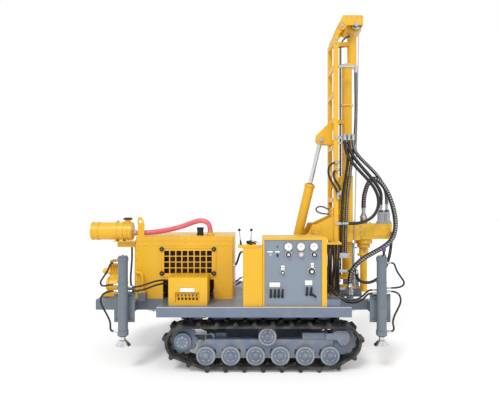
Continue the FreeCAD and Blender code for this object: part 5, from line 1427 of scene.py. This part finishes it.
rope_route = [tuple(p) for p in np.linspace(ROPE_TOP, ROPE_FOOT, 3)]
rope_line = spine(rope_route)
rope = piece("winch_rope_laid", tube(rope_line, strands, 0.006, 24), STEEL, "mast")
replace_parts(rope, "winch_rope")
print("rope", round(math.dist(ROPE_TOP, ROPE_FOOT), 3), "m")

# %% [markdown]
# ## Rotary head
# The spindle is one turned ring with the socket's bore through it: a drive flange, the chuck, a
# lower flange and the long tube, with eight screws under each flange. A hoop keeps the bore open,
# which a turned form with end caps would close.

# %% Spindle
SPINDLE = (1.497, 0.0, 0.0)
DOWN = (0, 0, -1)
spindle_rows = [(0.0300, 0.733), (0.0450, 0.733), (0.0475, 0.736), (0.0475, 0.800), (0.0462, 0.802),
                (0.0462, 1.176), (0.0500, 1.180), (0.0560, 1.192), (0.0800, 1.194), (0.0820, 1.197),
                (0.0820, 1.209), (0.0800, 1.212), (0.0620, 1.214), (0.0590, 1.220), (0.0590, 1.292),
                (0.0620, 1.298), (0.0820, 1.300), (0.0840, 1.303), (0.0840, 1.341), (0.0820, 1.344),
                (0.0450, 1.346), (0.0440, 1.470), (0.0300, 1.470)]
spindle = placed(hoop(spindle_rows, 56), SPINDLE, (0, 0, 1))
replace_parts(piece("spindle_turned", spindle, YELLOW, "spindle_body"), "spindle")
screws = np.concatenate([ring_places((1.497, 0, 1.194), 0.070, 8, "z", 0.2),
                         ring_places((1.497, 0, 1.300), 0.072, 8, "z", 0.2)])
piece("spindle_screws", copies(bolt(0.013, 0.007), screws, DOWN), STEEL, "spindle_body")
key = plate(0.044, 0.034, 0.003, 0.003)
flats = [placed(key, (1.497 + 0.0575 * math.cos(a), 0.0575 * math.sin(a), 1.256),
                (math.cos(a), math.sin(a), 0), (0, 0, 1)) for a in (0.0, math.pi / 2, math.pi, -math.pi / 2)]
piece("chuck_keys", together(*flats), STEEL, "spindle_body")
print("spindle screws", len(screws), "keys", len(flats))

# %% [markdown]
# Both motors are cast and fluted like the knobs, only larger, on a square foot with four bolts,
# and carry a dark port block on top. A silver paint of their own sets them off from the gearbox.

# %% Motors
MOTORS = ((1.700, -0.066), (1.802, 0.030))
rim_places = ring_places((1.497, 0, 1.350), 0.097, 10, "z", 0.31)
piece("gearbox_flange_bolts", copies(bolt(0.013, 0.007), rim_places, DOWN), STEEL, "head")
motor_rows = [(0.0440, 1.620, 0.0), (0.0455, 1.626, 0.2), (0.0455, 1.634, 1.0), (0.0435, 1.640, 1.0),
              (0.0425, 1.712, 1.0), (0.0445, 1.716, 0.2), (0.0445, 1.726, 0.0), (0.0400, 1.740, 0.0),
              (0.0300, 1.750, 0.0)]
motor_finish = paint("motor_silver", "A9ADB2", gloss=0.36, dust=0.0)
cast, blocks, foot_bolts = [], [], []
for x, y in MOTORS:
    cast.append(placed(fluted(motor_rows, 12, 0.0035, 72), (x, y, 0), (0, 0, 1)))
    cast.append(placed(plate(0.104, 0.090, 0.020, 0.012, 0.002), (x, y, 1.600), (0, 0, 1)))
    blocks.append(placed(plate(0.056, 0.056, 0.022, 0.006, 0.003), (x, y, 1.748), (0, 0, 1)))
    corners = [(x + a * 0.040, y + b * 0.034, 1.620) for a in (-1, 1) for b in (-1, 1)]
    foot_bolts.append(copies(bolt(0.013, 0.007), corners))
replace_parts(piece("motor_cases", together(*cast), motor_finish, "head"), "head_motors")
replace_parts(piece("motor_port_blocks", together(*blocks), KNOB_BLACK, "head"), "head_motors")
piece("motor_bolts", together(*foot_bolts), STEEL, "head")
print("motors", len(MOTORS))

# %% [markdown]
# The gearbox has a thin cover on each side with eight bolts through it, three larger bolts at its
# inner end and two plugs on top for filling it with oil.

# %% Covers, bolts and plugs of the gearbox
covers, gearbox_bolts = [], []
for s in (-1, 1):
    out = (0, s, 0)
    cover = plate(0.300, 0.118, 0.004, 0.014, 0.002)
    covers.append(placed(cover, (1.628, s * 0.130, 1.505), out, (1, 0, 0)))
    places = [(x, s * 0.134, z) for x in (1.496, 1.584, 1.672, 1.760) for z in (1.462, 1.548)]
    gearbox_bolts.append(copies(bolt(0.012, 0.006), places, out))
    inner_end = [(1.440, s * 0.140, z) for z in (1.450, 1.505, 1.560)]
    gearbox_bolts.append(copies(bolt(0.017, 0.008), inner_end, out))
piece("gearbox_covers", together(*covers), YELLOW, "head")
piece("gearbox_bolts", together(*gearbox_bolts), STEEL, "head")
plug = turned([(0.012, 0), (0.012, 0.004), (0.009, 0.005), (0.009, 0.012), (0.005, 0.013)], 20)
piece("gearbox_plugs", copies(plug, [(1.460, -0.085, 1.600), (1.600, 0.085, 1.600)]), STEEL, "head")
print("cover bolts on a side", len(places))

# %% [markdown]
# A hose union is a crimped sleeve with rings, a round nut and a short plain tail. The same form in
# several sizes ends the hoses of the head, the mast and the jacks.

# %% Unions at the hoses' ends
def union(radius, long):
    """Crimped sleeve and round nut that go on from a hose's end, long metres long."""
    share = np.linspace(0, 0.62, 13)
    rings = [(radius * (1.10 + 0.05 * (i % 2)), long * t) for i, t in enumerate(share)]
    nut = [(radius * 0.80, long * 0.64), (radius * 0.80, long * 0.70), (radius * 1.18, long * 0.71),
           (radius * 1.20, long * 0.90), (radius * 0.90, long * 0.92), (radius * 0.90, long)]
    return turned([(radius * 0.96, 0)] + rings + nut, 24)


UP = (0, 0, 1)
mast_unions = [placed(union(0.0185, 0.075), (x, -0.270, 2.630), UP) for x in (1.200, 1.250, 1.300)]
mast_unions += [placed(union(0.0185, 0.070), (1.240, -0.2733, 1.612), (-1, 0, 0)),
                placed(union(0.0185, 0.052), (1.345, -0.270, 1.000), UP)]
sleeves = piece("mast_side_unions", together(*mast_unions), STEEL, "mast")
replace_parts(sleeves, "head_hose_ends")
print("unions on the mast", len(mast_unions))

# %% [markdown]
# On the head, the motors' hoses come down into unions, the case hose comes up into an elbow block
# at the gearbox's end, and the air hose ends on a swivel over the spindle: a stack of turned rings.

# %% The head's unions, elbow and air swivel
head_unions = [placed(union(0.0172, 0.070), (1.700, -0.066, 1.840), DOWN),
               placed(union(0.0172, 0.080), (1.802, 0.030, 1.850), DOWN),
               placed(union(0.0172, 0.040), (1.812, -0.125, 1.420), UP)]
elbow = placed(plate(0.0437, 0.084, 0.040, 0.004, 0.003), (1.8120, -0.1027, 1.460), UP, (1, 0, 0))
swivel_rows = [(0.0460, 1.600), (0.0480, 1.603), (0.0480, 1.616), (0.0440, 1.620), (0.0440, 1.664),
               (0.0460, 1.668), (0.0460, 1.686), (0.0440, 1.690), (0.0330, 1.692), (0.0330, 1.722),
               (0.0240, 1.727), (0.0240, 1.797)]
swivel = placed(turned(swivel_rows, 40), SPINDLE, UP)
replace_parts(piece("head_unions", together(elbow, swivel, *head_unions), STEEL, "head"), "head_ports")
swivel_bolts = ring_places((1.497, 0, 1.692), 0.0395, 6, "z", 0.4)
piece("swivel_bolts", copies(bolt(0.011, 0.006), swivel_bolts), STEEL, "head")
print("unions on the head", len(head_unions))

# %% [markdown]
# The jacks' small hoses get the same union at each end that lies on a jack. Its axis is read from
# the route's last two points, so that the union always lines up with its hose.

# %% Unions on the jacks
JACK_SIDE = 0.75
jack_unions = []
for route in JACK_HOSES + LINK_HOSES:
    for end, near in ((route[0], route[1]), (route[-1], route[-2])):
        if abs(end[1]) > JACK_SIDE:
            back = np.subtract(end, near) / math.dist(end, near)
            jack_unions.append(placed(union(0.0110, 0.044), np.array(end) + 0.001 * back, back))
piece("jack_unions", together(*jack_unions), STEEL)
print("unions on the jacks", len(jack_unions))

# %% [markdown]
# ## Air cleaner
# The drum lies along the machine, on two clamp bands, each with a lug and a bolt on top. Rolled
# beads stiffen it. Both are rings with a closed profile, set along the drum's axis.

# %% Beads and bands of the drum
ALONG = (1, 0, 0)
DRUM_Y, DRUM_Z = -0.330, 1.525
BAND_XS = (-1.560, -1.440)
bead = hoop([(0.1040, 0), (0.1085, 0.002), (0.1095, 0.006), (0.1085, 0.010), (0.1050, 0.012),
             (0.1040, 0.012)], 64)
piece("drum_beads", copies(bead, [(x, DRUM_Y, DRUM_Z) for x in (-1.770, -1.500)], ALONG), YELLOW)
band = hoop([(0.1060, 0), (0.1105, 0.0015), (0.1105, 0.0185), (0.1060, 0.020)], 64)
piece("drum_bands", copies(band, [(x, DRUM_Y, DRUM_Z) for x in BAND_XS], ALONG), YELLOW)
lug = plate(0.020, 0.026, 0.022, 0.003, 0.001)
lugs = [placed(lug, (x + 0.010, DRUM_Y, DRUM_Z + 0.108), UP) for x in BAND_XS]
lug_bolts = [(x + 0.010, DRUM_Y - 0.013, DRUM_Z + 0.119) for x in BAND_XS]
piece("drum_band_lugs", together(*lugs, copies(bolt(0.011, 0.006), lug_bolts, NEAR)), STEEL)
print("bands", len(BAND_XS))

# %% [markdown]
# The drum's inlet has a black rain cap, and its far end comes off with a wing nut. A steel clip
# holds each end of the red intake hose.

# %% Rain cap, end and clips of the air cleaner
rain = turned([(0.034, 0), (0.052, 0.0), (0.054, 0.003), (0.054, 0.016), (0.050, 0.022),
               (0.030, 0.026), (0.012, 0.027)], 40)
piece("rain_cap", placed(rain, (-1.433, DRUM_Y, 1.6620), UP), KNOB_BLACK)
end_rows = [(0.098, 0), (0.096, 0.003), (0.040, 0.005), (0.036, 0.009), (0.012, 0.010)]
piece("drum_end", placed(turned(end_rows, 56), (-1.862, DRUM_Y, DRUM_Z), TAIL), YELLOW)
wing = placed(plate(0.044, 0.012, 0.010, 0.004, 0.001), (-1.873, DRUM_Y, DRUM_Z), TAIL, (0, 0.8, 0.6))
wing_bolt = placed(bolt(0.015, 0.010), (-1.872, DRUM_Y, DRUM_Z), TAIL)
piece("drum_wing_nut", together(wing, wing_bolt), STEEL)
clip = hoop([(0.0305, 0), (0.0335, 0), (0.0340, 0.001), (0.0340, 0.011), (0.0335, 0.012),
             (0.0305, 0.012)], 36)
clips = [placed(clip, (-1.345, -0.330, 1.503), ALONG), placed(clip, (-0.447, -0.230, 1.512), UP)]
piece("intake_clips", together(*clips), STEEL)
print("clips", len(clips))

# %% [markdown]
# ## Tail pump
# Behind the hood stand a pump and, above it, its motor. Their round flanges make them read as
# machines, so each gets two, with a circle of bolts on the one that faces the tail.

# %% Tail pump's flanges and bolts
PUMP_Y, PUMP_X = -0.120, -1.800
pump_ring = hoop([(0.095, 0), (0.104, 0.001), (0.105, 0.003), (0.105, 0.013), (0.104, 0.015),
                  (0.095, 0.015)], 56)
motor_ring = hoop([(0.070, 0), (0.079, 0.001), (0.080, 0.003), (0.080, 0.011), (0.079, 0.013),
                   (0.070, 0.013)], 48)
pump_rings = copies(pump_ring, [(PUMP_X + d, PUMP_Y, 0.840) for d in (0.075, 0.190)], ALONG)
motor_rings = copies(motor_ring, [(PUMP_X + d, PUMP_Y, 1.010) for d in (0.100, 0.224)], ALONG)
piece("pump_flanges", together(pump_rings, motor_rings), YELLOW)
pump_circle = ring_places((PUMP_X + 0.075, PUMP_Y, 0.840), 0.0995, 10, "x")
motor_circle = ring_places((PUMP_X + 0.100, PUMP_Y, 1.010), 0.0745, 8, "x")
feet = [(PUMP_X + x, PUMP_Y + y, 0.745) for x in (0.026, 0.244) for y in (-0.075, 0.075)]
pump_bolts = [copies(bolt(0.013, 0.006), pump_circle, TAIL), copies(bolt(0.011, 0.006), motor_circle, TAIL),
              copies(bolt(0.015, 0.007), feet)]
piece("pump_bolts", together(*pump_bolts), STEEL)
nose_rows = [(0.036, 0), (0.036, 0.004), (0.026, 0.006), (0.024, 0.020), (0.018, 0.022), (0.008, 0.023)]
piece("pump_nose_plug", placed(turned(nose_rows, 36), (PUMP_X + 0.020, PUMP_Y, 1.010), TAIL), YELLOW)
print("pump bolts", len(pump_circle) + len(motor_circle) + len(feet))

# %% [markdown]
# A bent yellow pipe leaves the hood's side for a foot on the chassis rail. It uses the hoses'
# tube, because a pipe is a hose that happens to be stiff, but it isn't declared as a cord. A pale
# strip runs along the deck's edges, and the oil tank has a filler and a breather.

# %% Bent pipe, deck edges and tank caps
PIPE_ROUTE = ((-1.329, -0.402, 1.040), (-1.290, -0.430, 1.042), (-1.247, -0.430, 1.032),
              (-1.232, -0.430, 0.990), (-1.232, -0.430, 0.860), (-1.232, -0.430, 0.800))
piece("bent_pipe", tube(spine(PIPE_ROUTE), plain(0.017), 0.008, 20), YELLOW)
pipe_foot = hoop([(0.017, 0), (0.040, 0), (0.041, 0.002), (0.041, 0.010), (0.034, 0.012),
                  (0.024, 0.024), (0.017, 0.025)], 36)
bracket = placed(plate(0.084, 0.100, 0.090, 0.006, 0.003), (-1.232, -0.430, 0.710), UP)
piece("bent_pipe_foot", placed(pipe_foot, (-1.232, -0.430, 0.800), UP), YELLOW)
piece("bent_pipe_bracket", bracket, slots["grey_paint"])
edge_shapes = [limb((-0.985, y, 0.7155), (1.157, y, 0.7155), ((0.0055, 0), (0.0055, 1)), 12)
               for y in (-0.8245, 0.8245)]
piece("deck_edge", together(*edge_shapes), paint("edge_pale", "C9C9D6", gloss=0.4, dust=0.0))
filler = fluted([(0.040, 1.392, 0), (0.046, 1.393, 1), (0.046, 1.414, 1), (0.040, 1.419, 0),
                 (0.012, 1.420, 0)], 18, 0.003)
breather = turned([(0.020, 1.400), (0.030, 1.401), (0.032, 1.405), (0.032, 1.424), (0.026, 1.432),
                   (0.010, 1.435)], 36)
tank_caps = together(placed(filler, (0.075, -0.480, 0), UP), placed(breather, (0.030, -0.600, 0), UP))
piece("tank_caps", tank_caps, KNOB_BLACK)
print("deck edges", len(edge_shapes))

# %% [markdown]
# ## Small hoses beside the frame's own
# The frame has no solids for these, so they are drawn from the photo: two loops of hose that stand
# off the mast above the console, three short hoses from the hood to the oil tank, and one that
# drops from the air cleaner's bracket to the hood's tail.

# %% Routes of the mast's loops, the tank's hoses and the tail hose
LOOP_RADIUS = 0.013
MAST_LOOPS = (
    ((1.106, -0.264, 2.360), (1.060, -0.264, 2.356), (1.008, -0.266, 2.318), (0.996, -0.268, 2.235),
     (1.022, -0.270, 2.150), (1.070, -0.270, 2.076), (1.112, -0.266, 2.005), (1.115, -0.264, 1.935)),
    ((1.110, -0.264, 2.268), (1.086, -0.264, 2.264), (1.062, -0.266, 2.232), (1.066, -0.268, 2.175),
     (1.106, -0.268, 2.112), (1.146, -0.266, 2.052), (1.150, -0.264, 1.990)))
TANK_HOSES = (
    ((-0.154, -0.365, 1.110), (-0.128, -0.365, 1.116), (-0.104, -0.368, 1.180), (-0.080, -0.374, 1.262),
     (-0.058, -0.376, 1.282), (-0.036, -0.376, 1.284)),
    ((-0.154, -0.366, 0.925), (-0.124, -0.366, 0.926), (-0.094, -0.368, 0.948), (-0.064, -0.370, 0.972),
     (-0.036, -0.370, 0.974)),
    ((-0.154, -0.366, 0.880), (-0.124, -0.366, 0.881), (-0.094, -0.368, 0.900), (-0.064, -0.370, 0.922),
     (-0.036, -0.370, 0.924)))
TAIL_HOSE = ((-1.395, -0.292, 1.398), (-1.395, -0.292, 1.320), (-1.392, -0.296, 1.200),
             (-1.400, -0.306, 1.060), (-1.402, -0.332, 0.940), (-1.388, -0.352, 0.862),
             (-1.352, -0.355, 0.850), (-1.329, -0.355, 0.850))
TANK_RADII = (0.013, 0.0095, 0.0095)
small = [("mast_loop_1", MAST_LOOPS[0], LOOP_RADIUS, "mast"),
         ("mast_loop_2", MAST_LOOPS[1], LOOP_RADIUS, "mast"),
         ("tank_hose_1", TANK_HOSES[0], TANK_RADII[0], "chassis"),
         ("tank_hose_2", TANK_HOSES[1], TANK_RADII[1], "chassis"),
         ("tank_hose_3", TANK_HOSES[2], TANK_RADII[2], "chassis"),
         ("tail_hose", TAIL_HOSE, 0.012, "chassis")]
print("small hoses", len(small))

# %% [markdown]
# Each of them ends in a steel collar, a ring whose profile grows with the hose's radius. On the
# mast the collars stand against small blocks.

# %% Small hoses, their collars and blocks
def end_collar(radius):
    """Ring round a hose's end: a wide sleeve, a groove and a narrower lip."""
    return hoop([(radius * 0.9, 0), (radius, 0), (radius * 1.16, 0.001), (radius * 1.18, 0.013),
                 (radius * 1.02, 0.015), (radius * 1.10, 0.016), (radius * 1.12, 0.024),
                 (radius, 0.026), (radius * 0.9, 0.026)], 20)


ends = {"mast": [], "chassis": []}
for name, route, radius, body in small:
    cord(name, route, plain(radius), body, rubber_black, 0.008, 14)
    for end, near in ((route[0], route[1]), (route[-1], route[-2])):
        inward = np.subtract(near, end) / math.dist(end, near)
        ends[body].append(placed(end_collar(radius), end, inward))
blocks = [placed(plate(0.030, 0.030, 0.040, 0.004, 0.002), (x, -0.240, z), NEAR)
          for x, z in ((1.118, 2.360), (1.118, 2.268), (1.115, 1.922))]
blocks.append(placed(plate(0.050, 0.030, 0.040, 0.004, 0.002), (1.128, -0.240, 1.977), NEAR))
piece("loop_unions", together(*ends["mast"], *blocks), STEEL, "mast")
piece("tank_unions", together(*ends["chassis"]), STEEL)
print("collars", len(ends["mast"]) + len(ends["chassis"]))

# %% [markdown]
# The near jack at the drill end has a short stub on top with a purple plastic cap. Both are turned
# forms that stand on the jack's lid.

# %% Stub and cap on the near drill-end jack
stub = turned([(0.024, 1.268), (0.026, 1.272), (0.026, 1.290), (0.014, 1.294), (0.014, 1.330),
               (0.017, 1.332), (0.017, 1.345)], 32)
cap = turned([(0.0175, 1.336), (0.0225, 1.338), (0.0235, 1.350), (0.0225, 1.372), (0.0170, 1.384),
              (0.0060, 1.388)], 32)
piece("jack_stub", placed(stub, (1.522, -0.800, 0), UP), KNOB_BLACK)
piece("jack_stub_cap", placed(cap, (1.522, -0.800, 0), UP), plastic("cap_purple", "6A3FA0", 0.4))
print("stub and cap up to", 1.388, "m")

# %% [markdown]
# ## Valve block and inlet swivel
# A small yellow block with two bolts stands on the mast, above its near arm, and a thin hose loops
# out of it and back. The block is two plates one on the other, which a bevel keeps from looking
# like a plain cube.

# %% Valve block and its loop
BLOCK_Y = -0.192
block = placed(plate(0.030, 0.052, 0.094, 0.005, 0.003), (1.0600, BLOCK_Y, 1.703), UP, (1, 0, 0))
lid = placed(plate(0.020, 0.040, 0.012, 0.004, 0.002), (1.0600, BLOCK_Y, 1.797), UP, (1, 0, 0))
piece("arm_valve_block", together(block, lid), YELLOW, "mast")
valve_bolts = [(1.060, BLOCK_Y - 0.026, z) for z in (1.722, 1.776)]
piece("arm_valve_bolts", copies(bolt(0.011, 0.006), valve_bolts, NEAR), STEEL, "mast")
LOOP_ROUTE = ((1.047, BLOCK_Y, 1.778), (1.010, BLOCK_Y, 1.784), (0.950, BLOCK_Y, 1.818),
              (0.884, BLOCK_Y, 1.820), (0.852, BLOCK_Y, 1.784), (0.884, BLOCK_Y, 1.746),
              (0.960, BLOCK_Y, 1.728), (1.047, BLOCK_Y, 1.722))
THIN_RADIUS = 0.0085
cord("arm_loop_1", LOOP_ROUTE, plain(THIN_RADIUS), "mast", rubber_black,
     0.006, 14)
unions = [placed(union(0.0095, 0.024), np.array(end) - (0.022, 0, 0), ALONG)
          for end in (LOOP_ROUTE[0], LOOP_ROUTE[-1])]
piece("arm_loop_unions", together(*unions), STEEL, "mast")
print("valve bolts", len(valve_bolts))

# %% [markdown]
# The air inlet at the mast's foot is a turned swivel: two smooth rings with a fluted nut between
# them, which a hand or a strap wrench can grip.

# %% Inlet swivel
INLET = (1.257, -0.285, 0.0)
nut_rows = [(0.0375, 0.781, 0), (0.0430, 0.783, 1), (0.0430, 0.809, 1), (0.0375, 0.811, 0)]
swivel_low = [(0.0312, 0.747), (0.0400, 0.748), (0.0410, 0.751), (0.0410, 0.768), (0.0400, 0.771),
              (0.0312, 0.772)]
swivel_high = [(0.0312, 0.832), (0.0370, 0.833), (0.0380, 0.836), (0.0380, 0.846), (0.0330, 0.853),
               (0.0280, 0.884), (0.0254, 0.885), (0.0254, 0.851)]
rings = [placed(hoop(rows, 40), INLET, UP) for rows in (swivel_low, swivel_high)]
swivel_nut = placed(fluted(nut_rows, 24, 0.002, 96), INLET, UP)
piece("inlet_swivel", together(*rings, swivel_nut), STEEL, "mast")
print("rings", len(rings))

# %% [markdown]
# The photo shows the bundle beside the console several hoses deep, so a second row hangs just
# behind the first, between a rear bracket and a rear manifold.

# %% Second row of console hoses
REAR_Y = -0.3715
REAR_XS = (0.9475, 0.9925, 1.0375, 1.0825)
MANIFOLD_TOP = 0.7605
for i, x in enumerate(REAR_XS):
    sway = -0.013 if i % 2 else 0.011
    route = ((x, REAR_Y, 1.370), (x, REAR_Y, 1.300), (x + sway, REAR_Y + 0.003, 1.170),
             (x + 0.006, REAR_Y + 0.002, 1.040), (x - sway / 2, REAR_Y + 0.001, 0.920),
             (x, REAR_Y, 0.830), (x, REAR_Y, 0.760))
    cord("console_hose_rear_%d" % (i + 1), route, plain(BUNDLE_RADIUS), "chassis",
         rubber_black, 0.012, 14)
collars = hoop([(0.0125, 0), (0.0165, 0.001), (0.0165, 0.012), (0.0140, 0.014), (0.0150, 0.030),
                (0.0125, 0.031)], 20)
collar_places = [(x, REAR_Y, MANIFOLD_TOP) for x in REAR_XS]
collar_places += [(x, BUNDLE_Y, MANIFOLD_TOP) for x in BUNDLE_XS]
piece("bundle_collars", copies(collars, collar_places), STEEL)
rear = [placed(plate(0.214, 0.026, 0.024, 0.003, 0.002), (1.015, -0.3727, 1.370), UP),
        placed(plate(0.214, 0.024, 0.044, 0.003, 0.002), (1.015, -0.3635, 0.716), UP)]
piece("rear_brackets", together(*rear), YELLOW)
print("collars of the bundle", len(collar_places))
